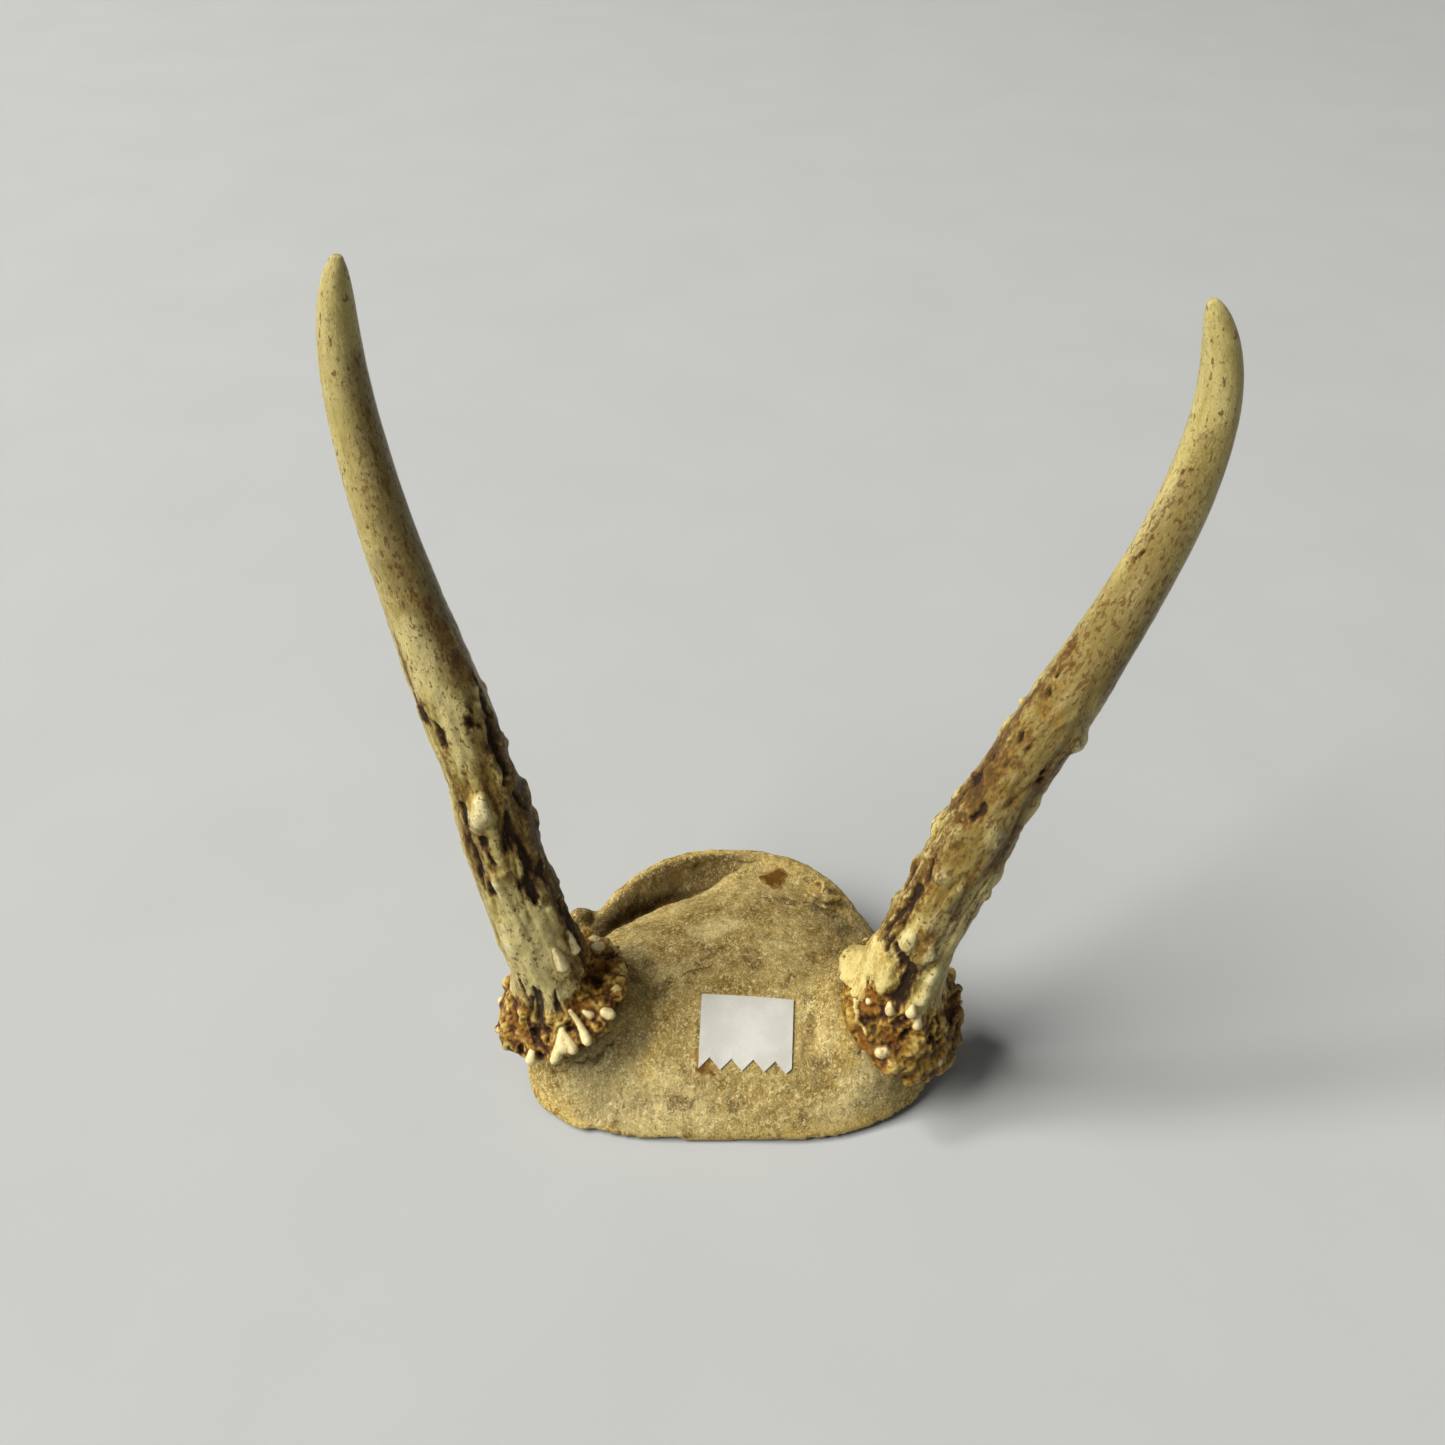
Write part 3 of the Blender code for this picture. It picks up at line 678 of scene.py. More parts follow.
def scattered_knobs(dice, arc):
    """Knobs for the part of a burr that no table gives."""
    rows = []
    for angle in np.arange(arc[0], arc[1], WILD_STEP):
        angle += dice.uniform(-3, 3)
        reach, width = dice.uniform(15.4, 17), dice.uniform(2.2, 3.6)
        inner = (angle + dice.uniform(-5, 5), reach - dice.uniform(2, 5), width * 0.7)
        rows.append((inner, (angle, reach, width)))
        if dice.random() < 0.5:
            rows.append(((angle + 5, dice.uniform(10.5, 13), dice.uniform(1.8, 2.8)),))
    return tuple(rows)


def antler(spike, surface):
    """One antler, grown from its beam and the knobs of its burr, then furrowed, pearled and stained."""
    line = BeamLine(spike)
    dice = np.random.default_rng(5 + spike.side)

    def skin(turn, rise):
        angle, station = 360 * turn, BURR_FOOT + (BEAM_LENGTH - BURR_FOOT) * rise
        reach = read_curve(BEAM_STATIONS, BEAM_RADII, station)
        flare = read_round(spike.burr_reach, angle) / BURR_MIDDLE_REACH - 1
        return line.spots(station, angle, reach * (1 + flare * (1 - fade(3, 9, station))))

    shape = closed_tube(ANTLER_GRID, skin)
    pearls = burr_chains(line, PEARLS[spike.name], PEARL_LIFT)
    pearls += beam_chains(line, FOOT_PEARLS[spike.name], FOOT_PEARL_LIFT)
    lumps = burr_chains(line, LUMPS[spike.name] + scattered_knobs(dice, WILD_ARC[spike.name]), LUMP_LIFT)
    nodules = beam_chains(line, NODULES[spike.name], NODULE_LIFT)
    for spots, halves in pearls + lumps + nodules:
        add_chain(shape, spots, halves)
    clay = Clay(fused(shape, ANTLER_VOXEL))
    clay.smooth(1)

    bent = clay.at + 0.9 * np.stack([grain(clay.at, 5, 2, 51 + axis) for axis in range(3)], 1)

    def near(table):
        return near_chains(bent, beam_chains(line, table[spike.name]))

    def near_burr(table):
        return near_chains(bent, burr_chains(line, table[spike.name]))

    # Where each point is: along and round the beam, and on the burr.
    station, angle, reach = line.places(clay.at)
    burr_angle, burr_reach, lift = line.burr_places(clay.at)
    turn, around = np.radians(angle), np.radians(burr_angle)
    grow = np.stack([reach * np.cos(turn), reach * np.sin(turn), station], 1)
    fan = np.stack([FAN_RADIUS * np.cos(around), FAN_RADIUS * np.sin(around), FAN_SQUEEZE * burr_reach], 1)
    ragged = grain(grow / (1, 1, 3), 1.9, 3, 3)
    top = read_round(CRUST_TOPS[spike.name], angle)
    foot = 1 - fade(-1.6, 1.6, lift - top + 2.6 * grain(grow / (1, 1, 5), 3.4, 1, 9) + 1.6 * ragged)
    rough = read_curve((0, 25, 60, 85, 110, 140, BEAM_LENGTH), (1, 0.9, 0.9, 0.6, 0.25, 0.1, 0.04), station)
    # The inner and back side of each beam: browned as stain, and on the left antler, whose inner side is its
    # shaded right side, also as painted shade.
    medial = fade(-0.1, 0.9, -spike.side * np.cos(turn) * 0.8 + np.sin(turn) * 0.6)
    knob_near = near_chains(clay.at, pearls)
    knob = fade(-0.4, -0.05, knob_near)
    nodule = fade(-0.7, 0.1, near_chains(clay.at, nodules))
    lump = fade(-0.6, 0.1, near_chains(clay.at, lumps))
    clay.smooth(8, lump * (1 - knob))
    pale = fade(-0.5, 0.3, np.maximum(near_burr(BURR_PALES), near(FOOT_PALES)) + 0.4 * ragged) * foot
    clay.smooth(30, 0.8 * pale * (1 - knob))

    # The beam: long soft swells with pits between them, and the bumps and furrows of the tables.
    heights = 0.55 * grain(grow / (1, 1, 3), 4.4, 2, 1) + 0.24 * grain(grow / (1, 1, 1.6), 2.2, 2, 12)
    heights = rough * (heights + 0.09 * grain(grow, 1.2, 1, 15))
    heights -= rough * 0.35 * fade(14, 24, station) * (1 - fade(0, 0.35, creased(grow / (1, 1, 5), 5, 1, 2)))
    heights += 0.1 * grain(grow / (1, 1, 9), 6, 1, 4)
    beads = [((dice.uniform(8, 88), dice.uniform(0, 360), dice.uniform(2.2, 4.6)),)
             for _ in range(BEAM_BEADS)]
    heights += 0.75 * fade(0, 0.9, near_chains(clay.at, beam_chains(line, beads))) * medial * (1 - foot)
    for where, about, width, height in BUMPS[spike.name]:
        long_spot = ((where - 0.7, about, width * 1.4), (where + 0.7, about, width * 1.4))
        heights += height * fade(0, 1, near_chains(clay.at, beam_chains(line, (long_spot,))))
    furrow_near = near(FURROWS) + 1.1 * ragged
    heights -= 0.95 * fade(-0.5, 0.7, furrow_near)
    heights *= 1 - 0.8 * foot

    # The burr: a cracked, pitted skin between the pearls, and flutes that run out to its edge.
    hollow = fade(-0.9, 0.7, near_burr(BURR_HOLLOWS) + 0.9 * grain(clay.at, 2, 2, 7)) * foot * (1 - knob)
    crust = 0.9 * grain(fan, 3, 2, 5) + 0.75 * grain(clay.at, 3, 3, 8) + 0.14 * grain(clay.at, 1.1, 1, 14)
    crust -= 0.3 * (1 - fade(0, 0.3, creased(clay.at, 3.6, 2, 13))) + hollow
    heights += foot * (1 - knob) * (crust * (1 - 0.88 * pale) + 0.8 * pale)
    clay.push(heights)
    clay.smooth(1)

    # What the material reads.
    stain = fade(-1.4, 1, near(STAINS) + 0.9 * ragged) * (1 - foot) * (1 - 0.7 * nodule)
    haze = clay.spread(fade(-0.9, 0.6, near(HAZES_AND_SHADE) + 0.4 * ragged), 80)
    ivory = clay.spread(fade(-0.9, 0.6, near(IVORIES) + 0.4 * ragged), 20)
    burr_amber = fade(-0.8, 0.8, near_burr(BURR_AMBERS)) * foot
    furrow = np.clip(np.maximum(furrow_near - 0.3 * foot, 1.6 * hollow - 1), -1.5, 1) - 2 * knob
    relief = np.clip(heights / 0.9 + 0.1 * nodule, -1, 1) * (1 - 0.6 * medial * rough)
    # The ridge field is low in hollows, where the material paints shade.
    clay.record(
        grow=grow, fan=fan, relief=relief, burr=foot, pale=pale, stain=stain, haze=haze, ivory=ivory,
        ridge=np.clip(clay.standing(4) / 0.12, -1, 1), knob=np.clip(knob_near * 2 + 1, 0, 1),
        amber=np.maximum(fade(-0.8, 0.8, near(AMBERS) + 0.6 * ragged), burr_amber), furrow=furrow,
        olive=fade(-0.8, 0.5, near_burr(BURR_OLIVES)), medial=medial * rough, age=fade(60, 165, station))
    clay.settle()
    place_object(spike.name + "_grown", clay.mesh, spike.name, surface)


def lip_weight(bearing):
    return within(bearing, LIP_STARTS, LIP_ENDS)


def gutter_depth(bearing):
    deep = (DEEP_GUTTER - SHALLOW_GUTTER) * fade(*DEEP_GUTTER_STARTS, bearing)
    return lip_weight(bearing) * (SHALLOW_GUTTER + deep)


def dome_height(bearing, share):
    """The height of the hide's upper face between the pedicles."""
    rim = read_round(RIM_HEIGHTS, bearing)
    dome = rim + (CROWN_HEIGHT - rim) * (1 - share**CROWN_POWER)
    spread = np.where(share < GUTTER_SHARE, GUTTER_INNER, GUTTER_OUTER)
    return dome - gutter_depth(bearing) * np.exp(-(((share - GUTTER_SHARE) / spread) ** 2))


def plan_place(bearing, share):
    """x and y of a place given by bearing and share of the way to the rim."""
    reach = share * read_round(RIM_RADII, bearing)
    return reach * np.sin(np.radians(bearing)), -reach * np.cos(np.radians(bearing))


def plan_polar(x, y):
    """Bearing and share of the way to the rim."""
    bearing = np.degrees(np.arctan2(x, -y)) % 360
    return bearing, np.hypot(x, y) / read_round(RIM_RADII, bearing)


def hide_height(bearing, share):
    """The height of the hide's upper face, with the collars that climb the pedicles."""
    height = dome_height(bearing, share)
    x, y = plan_place(bearing, share)
    for spike in (LEFT, RIGHT):
        square = leaning(spike.side, spike.burr_out, spike.burr_forward)
        middle = np.array(spike.burr_centre) - square * COLLAR_TOP
        away = np.hypot(x - middle[0], y - middle[1])
        top = middle[2] - (square[0] * (x - middle[0]) + square[1] * (y - middle[1])) / square[2]
        near = 1 - fade(COLLAR_INNER, COLLAR_OUTER, away)
        climbing = height + (top - height) * near * (1 - share**COLLAR_RIM_POWER)
        below_burr = np.minimum(height, top + BURR_RELIEF * np.maximum(away - BURR_REACH, 0))
        height = np.where(top > height, climbing, below_burr)
    return height


def ring_share(out):
    """The share of the way to the edge at which a skin's rings lie: a small mouth first, then ever closer."""
    return END_MOUTH + (1 - END_MOUTH) * out**RING_POWER


def label_frame():
    """The label's directions seen from above: across to the right, and down towards its foot."""
    turn = math.radians(LABEL_TURN)
    return np.array([math.cos(turn), math.sin(turn)]), np.array([math.sin(turn), -math.cos(turn)])


def hide_cover(surface):
    """The dried hide: one closed skin, then wrinkled and creased, with its marks recorded."""

    def skin(turn, rise):
        # The first half of the rise goes out over the upper face, and the second comes back below it.
        bearing, share = 360 * turn, ring_share(1 - np.abs(1 - 2 * rise))
        x, y = plan_place(bearing, share)
        z = hide_height(bearing, share)
        z = np.where(rise > 0.5, np.maximum(z - HIDE_THICKNESS, 0), z)
        return np.stack([x, y, z], 1)

    shape = closed_tube(HIDE_GRID, skin)
    for chain in CURLS:
        spots = np.array(chain, float)
        add_chain(shape, spots[:, :3], spots[:, 3] / 2)
    clay = Clay(fused(shape, HIDE_VOXEL))
    clay.smooth(2)
    bearing, share = plan_polar(clay.at[:, 0], clay.at[:, 1])
    rim_side = fade(0.88, 0.96, share)
    clay.smooth(8, rim_side)
    upper = fade(-1.4, -0.8, clay.at[:, 2] - hide_height(bearing, np.minimum(share, 1)))
    lip = lip_weight(bearing)

    flat = clay.at * (1, 1, 0)
    strayed = flat + 1.1 * np.stack([grain(clay.at, 4, 2, 61), grain(clay.at, 4, 2, 62), 0 * share], 1)

    def near(table):
        chains = [np.array(rows, float) for rows in table]
        return near_chains(strayed, [(chain * (1, 1, 0), chain[:, 2] / 2) for chain in chains])

    across, down = label_frame()
    from_top = flat[:, :2] - LABEL_TOP_MIDDLE
    sideways, lengthways = np.abs(from_top @ across), from_top @ down
    under_label = (1 - fade(11.5, 13.5, sideways)) * within(lengthways, (-2, -0.3), (15, 18))

    # How far each point is beyond the fold of the rear lip, and how deep the fold is there.
    fold_bearings, fold_shares, fold_depths = np.array(FOLD, float).T
    wavy = 0.5 * grain(clay.at, 5, 2, 25)
    beyond = (share - np.interp(bearing, fold_bearings, fold_shares)) * read_round(RIM_RADII, bearing) + wavy
    fold_depth = np.interp(bearing, fold_bearings, fold_depths, left=0, right=0)
    fold = np.exp(-((beyond / 0.8) ** 2))
    roll = within(beyond, (0.3, 2.4), (2.6, 6))

    ragged = grain(clay.at, 2.4, 3, 21)
    crease = near(SHADED_CREASES)
    scab = near(SCABS) + 0.5 * ragged
    hem = fade(0.95 - 0.03 * lip, 1 - 0.01 * lip, share)
    hem *= 1 - 0.85 * within(bearing, (234, 242), (258, 266))
    low = 1 - fade(4, 9, clay.at[:, 2])
    wrinkle = 1 - fade(0, 0.2, creased(strayed + (0, 0, 9), 11, 2, 27))
    heights = 0.5 * grain(clay.at, 11, 2, 22) + 0.22 * grain(clay.at, 3.2, 3, 23) - 0.14 * wrinkle
    heights += 0.3 * fade(0.78, 0.9, share) * lip * grain(clay.at / (1, 1, 2), 2.6, 2, 24)
    heights *= (1 - under_label) * (1 - 0.7 * low) * (1 - 0.6 * hem)
    heights += fold_depth * (0.45 * roll - 0.45 * fold)
    heights -= 0.35 * fade(-0.6, 1, crease) - 0.25 * fade(-0.2, 0.3, scab)
    heights += 0.25 * hem * grain(clay.at, 3.4, 2, 26) * (1 - low)
    clay.push(heights * upper)
    clay.rest_on_floor()

    # What the material reads. The nook is the hollow before the lip, painted near black as the lip's shadow,
    # and the wall is the lip's inner side, painted dark as darker skin and as shade.
    nook = within(beyond, (-1.6, -0.4), (1, 4.5 + 5 * fade(222, 240, bearing)))
    nook *= within(bearing, (190, 212), (262, 275))
    wall = fade(-0.4, 0.6, beyond) * (1 - rim_side) * within(bearing, (165, 200), (262, 275))
    marks = {"dark": near(DARK_MARKS_AND_SHADE), "grey": near(GREY_ZONES), "yellow": near(YELLOW_ZONES),
             "bright": near(BRIGHT_ZONES), "scab": scab}
    # Creases, the fold under the lip and the wrinkles are painted darker as shade.
    creasing = (0.75 * fade(-0.9, 1, crease), 1.5 * fold * np.clip(fold_depth, 0, 1), 0.3 * wrinkle)
    clay.record(
        **{name: np.clip(nearness, -1.5, 1) for name, nearness in marks.items()},
        crease=np.maximum.reduce(creasing), hem=hem * upper * (0.75 + 0.25 * lip), lip=wall * upper,
        nook=nook * upper, upper=upper, relief=np.clip(heights / 0.6, -1, 1),
        ridge=np.clip(clay.standing(8) / 0.12, -1, 1))
    clay.settle()
    place_object("hide_cover_dried", clay.mesh, "hide_cover", surface)


def skull_plate(surface):
    """The sawn bone below the hide, seen under the lip at the back and from below."""

    def skin(turn, rise):
        # The first half of the rise is the roof, then the wall goes down and the base goes in.
        bearing = 360 * turn
        edge = BONE_SHARE_BROW + (BONE_SHARE_BACK - BONE_SHARE_BROW) * lip_weight(bearing)
        down = np.clip(rise * 2 - 1, 0, 1)
        base = 1 - (1 - END_MOUTH) * np.clip(down * 2 - 1, 0, 1)
        share = edge * np.where(rise < 0.5, ring_share(np.clip(rise * 2, 0, 1)), base)
        x, y = plan_place(bearing, share)
        below_hide = np.minimum(dome_height(bearing, share), hide_height(bearing, share)) - HIDE_THICKNESS
        roof = below_hide - BONE_DROP
        z = np.where(rise < 0.5, roof, roof * (1 - np.clip(down * 2, 0, 1)))
        return np.stack([x, y, z], 1)

    clay = Clay(fused(closed_tube(BONE_GRID, skin), BONE_VOXEL))
    wall = fade(0.6, 0.2, np.abs(clay.normals()[:, 2]))
    cracks = 1 - fade(0, 0.25, creased(clay.at, 2.4, 1, 32))
    clay.push(wall * (0.25 * grain(clay.at, 7, 2, 31) - 0.5 * cracks) - 0.1)
    clay.rest_on_floor()
    clay.record(wall=wall, ridge=np.clip(clay.standing(4) / 0.1, -1, 1))
    clay.settle()
    place_object("skull_plate_sawn", clay.mesh, "skull_plate", surface)


def paper_label(surface):
    """A blank paper sticker with a pinked foot, which follows the hide below it."""
    across, down = label_frame()
    shape = bmesh.new()
    bmesh.ops.create_grid(shape, x_segments=LABEL_GRID[0], y_segments=LABEL_GRID[1], size=0.5)
    flat = np.array([corner.co for corner in shape.verts]) + 0.5
    column, row = flat[:, 0], 1 - flat[:, 1]
    tooth = np.abs(1 - 2 * (column * LABEL_TEETH % 1)) * LABEL_TOOTH
    wanted = row * (LABEL_LENGTH - LABEL_TOOTH + tooth)
    start = np.array(LABEL_TOP_MIDDLE) + (column - 0.5)[:, None] * LABEL_WIDTH * across
    # Walks down the hide from the upper edge, and notes where each length of paper has been used up.
    paces = np.arange(0, LABEL_LENGTH + LABEL_SLACK, LABEL_PACE)
    ways = start[:, None] + paces[None, :, None] * down
    heights = hide_height(*plan_polar(ways[..., 0], ways[..., 1]))
    lengths = np.cumsum(np.hypot(LABEL_PACE, np.diff(heights, axis=1)), 1)
    used = np.concatenate([np.zeros((len(ways), 1)), lengths], 1)
    places = np.array([
        [np.interp(want, length, axis) for axis in (*way.T, height)]
        for way, height, length, want in zip(ways, heights, used, wanted)])
    curl = LABEL_CURL * fade(0.8, 1, row) * (0.5 + 0.5 * grain(places, 5, 1, 41))
    curl += 0.1 * grain(places, 9, 1, 42)
    for corner, spot, rise in zip(shape.verts, places, curl):
        corner.co = (spot + (0, 0, LABEL_LIFT + rise)) * MM
    raised = bmesh.ops.extrude_face_region(shape, geom=shape.faces[:])["geom"]
    top = [part for part in raised if isinstance(part, bmesh.types.BMVert)]
    bmesh.ops.translate(shape, verts=top, vec=(0, 0, LABEL_THICKNESS * MM))
    bmesh.ops.recalc_face_normals(shape, faces=shape.faces)
    put_in_order(shape)
    mesh = new_mesh("paper_label_blank", shape)
    place_object("paper_label_blank", mesh, "paper_label", surface)
    mesh.set_sharp_from_angle(angle=math.radians(SHARP_ANGLE))


def paint(red, green, blue):
    """A paint chart's 0 to 255 numbers as the light they reflect."""
    return (*((value / 255) ** 2.2 for value in (red, green, blue)), 1)


class Wire:
    """One socket of a material's nodes. Sums and products of wires add Math nodes."""

    def __init__(self, tree, socket=None):
        self.tree, self.socket = tree, socket

    def node(self, kind, settings=(), sockets=(), out=0):
        """Adds a node of that kind: its settings first, then its sockets' values or links."""
        made = self.tree.nodes.new("ShaderNode" + kind)
        for name, value in dict(settings).items():
            if name == "stops":
                elements = made.color_ramp.elements
                while len(elements) < len(value):
                    elements.new(0.5)
                for element, (place, *tint) in zip(elements, value):
                    element.position, element.color = place, paint(*tint)
            else:
                setattr(made, name, value)
        for name, value in dict(sockets).items():
            if isinstance(value, Wire):
                self.tree.links.new(value.socket, made.inputs[name])
            else:
                made.inputs[name].default_value = value
        return Wire(self.tree, made.outputs[out] if made.outputs else None)

    def math(self, operation, *values):
        return self.node("Math", {"operation": operation}, enumerate(values))

    def __add__(self, other):
        return self.math("ADD", self, other)

    def __mul__(self, other):
        return self.math("MULTIPLY", self, other)

    def __sub__(self, other):
        return self.math("SUBTRACT", self, other)

    def __rsub__(self, other):
        return self.math("SUBTRACT", other, self)

    __radd__ = __add__
    __rmul__ = __mul__

    def clear(self, low, high):
        """0 below low and 1 above high, with a smooth rise between."""
        return self.node("MapRange", {"interpolation_type": "SMOOTHSTEP"}, {0: self, 1: low, 2: high})

    def between(self, under, over):
        """The first colour where this is 0, and the second where it is 1."""
        under, over = (tint if isinstance(tint, Wire) else paint(*tint) for tint in (under, over))
        return self.node("Mix", {"data_type": "RGBA"}, {0: self, 6: under, 7: over}, 2)

    def coated(self, *coats):
        """This colour below coats of (colour, field, low, high, strength), each where its field is high."""
        colour = self
        for tint, field, low, high, strength in coats:
            colour = (field.clear(low, high) * strength).between(colour, tint)
        return colour

    def ramp(self, *stops):
        """A colour that runs through the stops, each (place, red, green, blue)."""
        return self.node("ValToRGB", {"stops": stops}, {0: self})

    def stretched(self, *factors):
        return self.node("VectorMath", {"operation": "MULTIPLY"}, {0: self, 1: factors})

    def speckle(self, wave, detail, roughness, distortion=0):
        """Noise from 0 to 1 whose bumps are about a wave wide, in the vector's own unit."""
        noise = self.node("TexNoise", {}, {"Vector": self, "Scale": 1 / wave, "Detail": detail,
                                           "Roughness": roughness, "Distortion": distortion})
        return noise.node("MapRange", {}, {0: noise, 1: 0.5 - NOISE_REACH, 2: 0.5 + NOISE_REACH})

    def fields(self, *names, out="Fac"):
        """The values kept at the mesh's points under those names."""
        return [self.node("Attribute", {"attribute_name": name}, {}, out) for name in names]

    def place(self):
        """Object coordinates in millimetres."""
        return self.node("TexCoord", {}, {}, "Object").stretched(1 / MM, 1 / MM, 1 / MM)


def new_material(name):
    made = bpy.data.materials.new(name)
    made.use_nodes = True
    made.node_tree.nodes.clear()
    return made, Wire(made.node_tree)


def finish_material(wire, colour, roughness, bumps, specular):
    """Ends a material. bumps are (height, depth in millimetres)."""
    normal = None
    for height, depth in bumps:
        sockets = {"Height": height, "Distance": depth * MM, "Strength": 1}
        if normal:
            sockets["Normal"] = normal
        normal = wire.node("Bump", {}, sockets)
    shader = wire.node("BsdfPrincipled", {}, {
        "Base Color": colour, "Roughness": roughness, "Normal": normal, "Specular IOR Level": specular})
    wire.node("OutputMaterial", {}, {"Surface": shader})


def antler_material():
    """Grown antler: satin ivory on the ridges, olive and brown stain between, dark hollows in the burr; the
    dark of the hollows, furrows and pearl bases is partly painted shade.
    """
    made, wire = new_material("grown antler")
    ridge, relief, burr, knob, pale, medial, age = wire.fields(
        "ridge", "relief", "burr", "knob", "pale", "medial", "age")
    stain, furrow, amber, olive, haze, ivory = wire.fields(
        "stain", "furrow", "amber", "olive", "haze", "ivory")
    grow, fan = wire.fields("grow", "fan", out="Vector")
    streaks = grow.stretched(1, 1, 0.14).speckle(1.4, 6, 0.62) - 0.5
    clouds = grow.stretched(1, 1, 0.35).speckle(6, 5, 0.6) - 0.5
    fine = grow.stretched(1, 1, 0.65).speckle(0.8, 6, 0.8) - 0.5
    specks = grow.stretched(1, 1, 0.5).speckle(0.85, 3, 0.6)
    fibre = fan.speckle(1, 5, 0.75) - 0.5

    # The beam, from olive tan in its hollows to ivory on its bumps. The dark of the hollows and furrows is
    # partly painted shade, and so is the browning on the left beam's shaded right side.
    tone = 0.56 + 0.24 * relief + 0.14 * ridge + 0.2 * streaks + 0.24 * clouds + 0.2 * fine + 0.05 * age
    browning = 0.9 * stain - 0.2 * ivory + 0.55 * medial - 0.4 * relief - 0.2 * ridge + 1.3 * fine
    browning = browning + 0.45 * streaks + 0.3 * clouds
    body = tone.ramp((0.1, 88, 70, 26), (0.36, 142, 122, 58), (0.6, 188, 171, 102), (0.95, 232, 220, 164))
    body = body.coated(
        ((104, 84, 32), haze + 0.9 * fine + 0.6 * clouds + 0.5 * streaks - 0.3 * relief, 0, 0.9, 0.75),
        ((150, 114, 38), amber + 1.1 * fine, 0.3, 1, 0.6),
        ((222, 206, 140), ivory + 0.7 * clouds + 0.7 * fine + 0.3 * streaks, 0, 1, 0.6),
        ((134, 104, 38), browning, 0, 0.75, 0.55),
        ((108, 78, 20), browning + 0.3 * specks, 0.6, 1, 0.8),
        ((56, 37, 6), browning + 0.3 * specks, 1.05, 1.5, 0.85),
        ((92, 62, 12), specks + 0.2 * medial + 0.2 * haze + 0.25 * clouds, 0.82, 0.96, 0.75),
        ((92, 64, 12), furrow + 1.3 * fine, -0.9, -0.2, 0.65),
        ((40, 25, 4), furrow + 1.3 * fine - 0.15 * ridge, -0.1, 0.4, 0.92))

    # The crust, from brown black in its cracks to tan on its lumps; the brown black is partly painted shade.
    tone = 0.48 + 0.24 * relief + 0.22 * ridge + 0.34 * fine + 0.24 * fibre + 0.34 * clouds
    cream = (clouds + 0.8 * fine).clear(-0.45, 0.25).between((172, 142, 66), (216, 198, 128))
    crust = tone.ramp((0.1, 46, 26, 5), (0.32, 90, 56, 10), (0.48, 126, 88, 22), (0.68, 160, 126, 50),
                      (0.98, 208, 182, 108))
    crust = crust.coated(
        ((124, 98, 32), olive + 0.7 * clouds + 0.6 * fibre, 0.3, 1.2, 0.5),
        ((138, 86, 14), amber + 0.8 * fibre + 0.9 * fine, 0.3, 1.1, 0.7),
        (cream, pale + 0.9 * fine + 0.4 * relief, 0.35, 0.8, 0.95),
        ((44, 26, 6), furrow + 0.8 * fibre - 0.2 * ridge, -0.1, 0.8, 0.76))

    # The crust lies over the beam's foot, and the pearls over both: brown at their edges, a painted shade at
    # their bases, and ivory on top.
    colour = body.coated(
        (crust, burr + 0.7 * fine, 0.3, 0.7, 1),
        ((140, 104, 44), knob + 0.3 * fine, 0.15, 0.7, 0.8),
        ((222, 206, 150), knob + 0.35 * fine + 0.2 * clouds, 0.66, 1.05, 0.95))
    roughness = 0.22 + 0.25 * browning.clear(0.3, 0.9) + 0.25 * burr + 0.25 * furrow.clear(-0.4, 0.3)
    roughness = roughness - 0.12 * knob - 0.2 * burr * pale
    finish_material(wire, colour, roughness, ((fine * (1 - 0.8 * knob), 0.16), (streaks, 0.08)), 0.32)
    return made


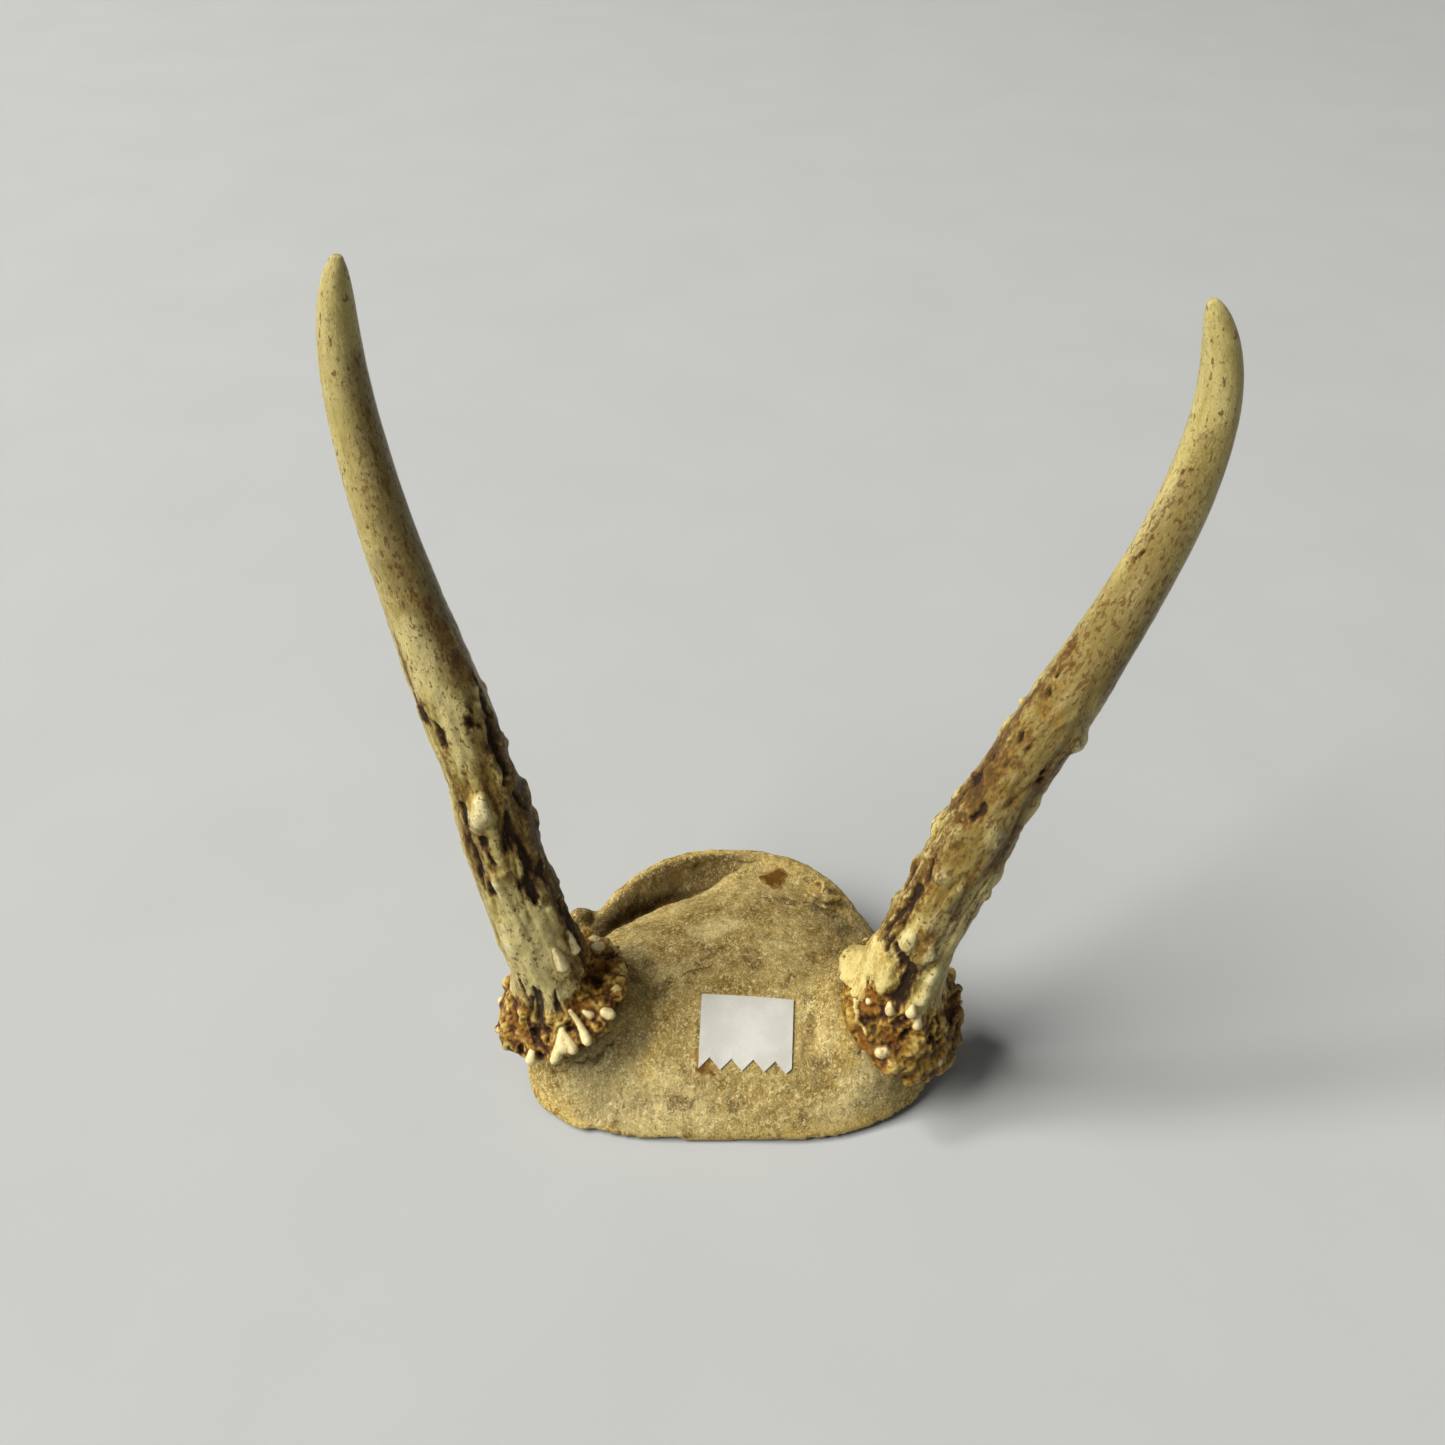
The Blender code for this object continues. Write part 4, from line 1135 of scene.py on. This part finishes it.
def hide_material():
    """Dried hide: a warm tan nap with grey and brown blotches, yellow at its cut hem, scabbed in places, with
    painted shade in its creases, under the rear lip and on the lip's inner wall, and pale front patches that
    also paint light.
    """
    made, wire = new_material("dried hide")
    place = wire.place()
    dark, grey, yellow, bright, scab, crease = wire.fields(
        "dark", "grey", "yellow", "bright", "scab", "crease")
    hem, lip, nook, relief, ridge, upper = wire.fields("hem", "lip", "nook", "relief", "ridge", "upper")
    nap = place.stretched(1, 0.8, 0.8).speckle(0.75, 4, 0.8, 1.2) - 0.5
    pile = place.speckle(1.3, 5, 0.7) - 0.5
    blotch = place.speckle(5, 5, 0.62) - 0.5
    broad = place.speckle(18, 3, 0.5) - 0.5
    tone = 0.49 + 0.16 * broad + 0.32 * blotch + 0.22 * pile + 0.18 * relief
    colour = tone.ramp((0.1, 102, 78, 32), (0.36, 147, 122, 66), (0.6, 182, 159, 98), (0.92, 224, 206, 144))
    # The lip's inner wall is painted dark as darker skin and as shade, the hollow before it near black as the
    # lip's shadow, and the creases darker as shade.
    colour = colour.coated(
        ((222, 201, 138), bright + 1.1 * blotch + 0.5 * pile, -0.8, 1, 0.62),
        ((126, 112, 76), grey + 1.2 * blotch + 0.5 * pile, -0.7, 0.9, 0.55),
        ((186, 156, 82), yellow + 1.2 * blotch + 0.6 * pile, -0.5, 0.7, 0.6),
        ((74, 57, 24), lip + 0.4 * blotch + 0.4 * pile, -0.1, 0.6, 0.9),
        ((44, 31, 10), nook + 0.3 * pile, 0.15, 1, 0.8),
        ((92, 70, 34), dark + 1.1 * blotch + 1.1 * pile, -0.3, 0.7, 0.7),
        ((242, 228, 170), nap + 0.3 * pile, -0.05, 0.5, 0.6 - 0.45 * lip),
        ((88, 62, 20), 0.2 * pile - nap, 0, 0.45, 0.55),
        ((204, 180, 104), hem + 0.9 * pile + 0.5 * blotch, 0.4, 0.9, 0.65),
        ((126, 88, 24), hem + 1.4 * pile + 1.4 * blotch, 0.9, 1.3, 0.8),
        ((132, 92, 28), scab + 0.6 * pile, -0.4, 0.1, 0.7),
        ((92, 57, 6), scab + 0.8 * pile, -0.1, 0.5, 0.88),
        ((66, 48, 20), crease - 0.2 * ridge + 0.7 * pile, 0.3, 1.1, 0.7),
        ((176, 150, 98), 1 - upper, 0.3, 0.8, 0.7))
    finish_material(wire, colour, 0.8 - 0.25 * scab.clear(-0.1, 0.3), ((pile, 0.08), (nap, 0.08)), 0.12)
    return made


def bone_material():
    """Sawn and dried bone: cream, with dark pores in the cut wall and faint saw lines."""
    made, wire = new_material("sawn bone")
    place = wire.place()
    wall, ridge = wire.fields("wall", "ridge")
    pores = wire.node("TexVoronoi", {}, {"Vector": place, "Scale": 1 / PORE_WIDTH})
    saw = place.stretched(0.1, 1, 0.3).speckle(0.8, 3, 0.6)
    clouds = place.speckle(9, 4, 0.6)
    # Lighter on ridges and darker in hollows: painted shade.
    colour = (clouds + 0.2 * ridge).clear(0.15, 0.85).between((184, 160, 110), (206, 188, 140))
    colour = colour.coated(
        ((120, 88, 48), 1 - pores, 0.62, 0.9, wall * 0.7),
        ((150, 124, 78), saw, 0.55, 0.75, 0.4))
    finish_material(wire, colour, 0.62 + 0.15 * clouds, ((pores, 0.25), (saw, 0.12)), 0.4)
    return made


def paper_material():
    """White paper with a faint tooth."""
    made, wire = new_material("label paper")
    place = wire.place()
    fibre, clouds = place.speckle(0.35, 3, 0.6), place.speckle(8, 3, 0.5)
    colour = clouds.clear(0.2, 0.8).between((189, 187, 177), (198, 196, 187))
    colour = colour.coated(((176, 173, 163), fibre, 0.6, 0.95, 0.3))
    finish_material(wire, colour, 0.62 + 0.1 * fibre, ((fibre, 0.03),), 0.3)
    return made


def floor_material():
    made, wire = new_material("pale floor")
    cloth = wire.place().speckle(60, 2, 0.5)
    finish_material(wire, cloth.between((166, 167, 165), (168, 169, 167)), 0.8, ((cloth, 0.02),), 0.1)
    return made


def set_stage():
    """A wide pale floor, soft window light from the left, and the camera."""
    shape = bmesh.new()
    bmesh.ops.create_grid(shape, x_segments=8, y_segments=8, size=FLOOR_HALF_WIDTH)
    mesh = new_mesh("studio_floor", shape)
    mesh.materials.append(floor_material())
    floor = new_object("studio_floor", mesh)

    for name, spot, size, power, tint in LIGHTS:
        data = bpy.data.lights.new(name, "AREA")
        data.shape, data.size, data.energy, data.color = "DISK", size, power, tint
        light = new_object(name, data)
        light.location = spot
        light.rotation_euler = (Vector(LIGHT_AIM) - Vector(spot)).to_track_quat("-Z", "Y").to_euler()
    world = bpy.data.worlds.new("room")
    world.use_nodes = True
    world.node_tree.nodes["Background"].inputs["Color"].default_value = ROOM_TINT
    world.node_tree.nodes["Background"].inputs["Strength"].default_value = ROOM_STRENGTH
    bpy.context.scene.world = world

    data = bpy.data.cameras.new("camera")
    data.sensor_width = SENSOR_WIDTH
    data.lens = SENSOR_WIDTH * LENS_PIXELS / PHOTO_PIXELS
    data.clip_start, data.clip_end = NEAR_CLIP, FAR_CLIP
    camera = new_object("camera", data)
    camera.location = CAMERA_SPOT
    camera.rotation_euler = (math.radians(CAMERA_LEAN), 0, 0)
    bpy.context.scene.camera = camera
    bpy.context.scene.view_settings.view_transform = "Standard"


set_stage()
skull_plate(bone_material())
hide_cover(hide_material())
paper_label(paper_material())
grown = antler_material()
for spike in (LEFT, RIGHT):
    antler(spike, grown)
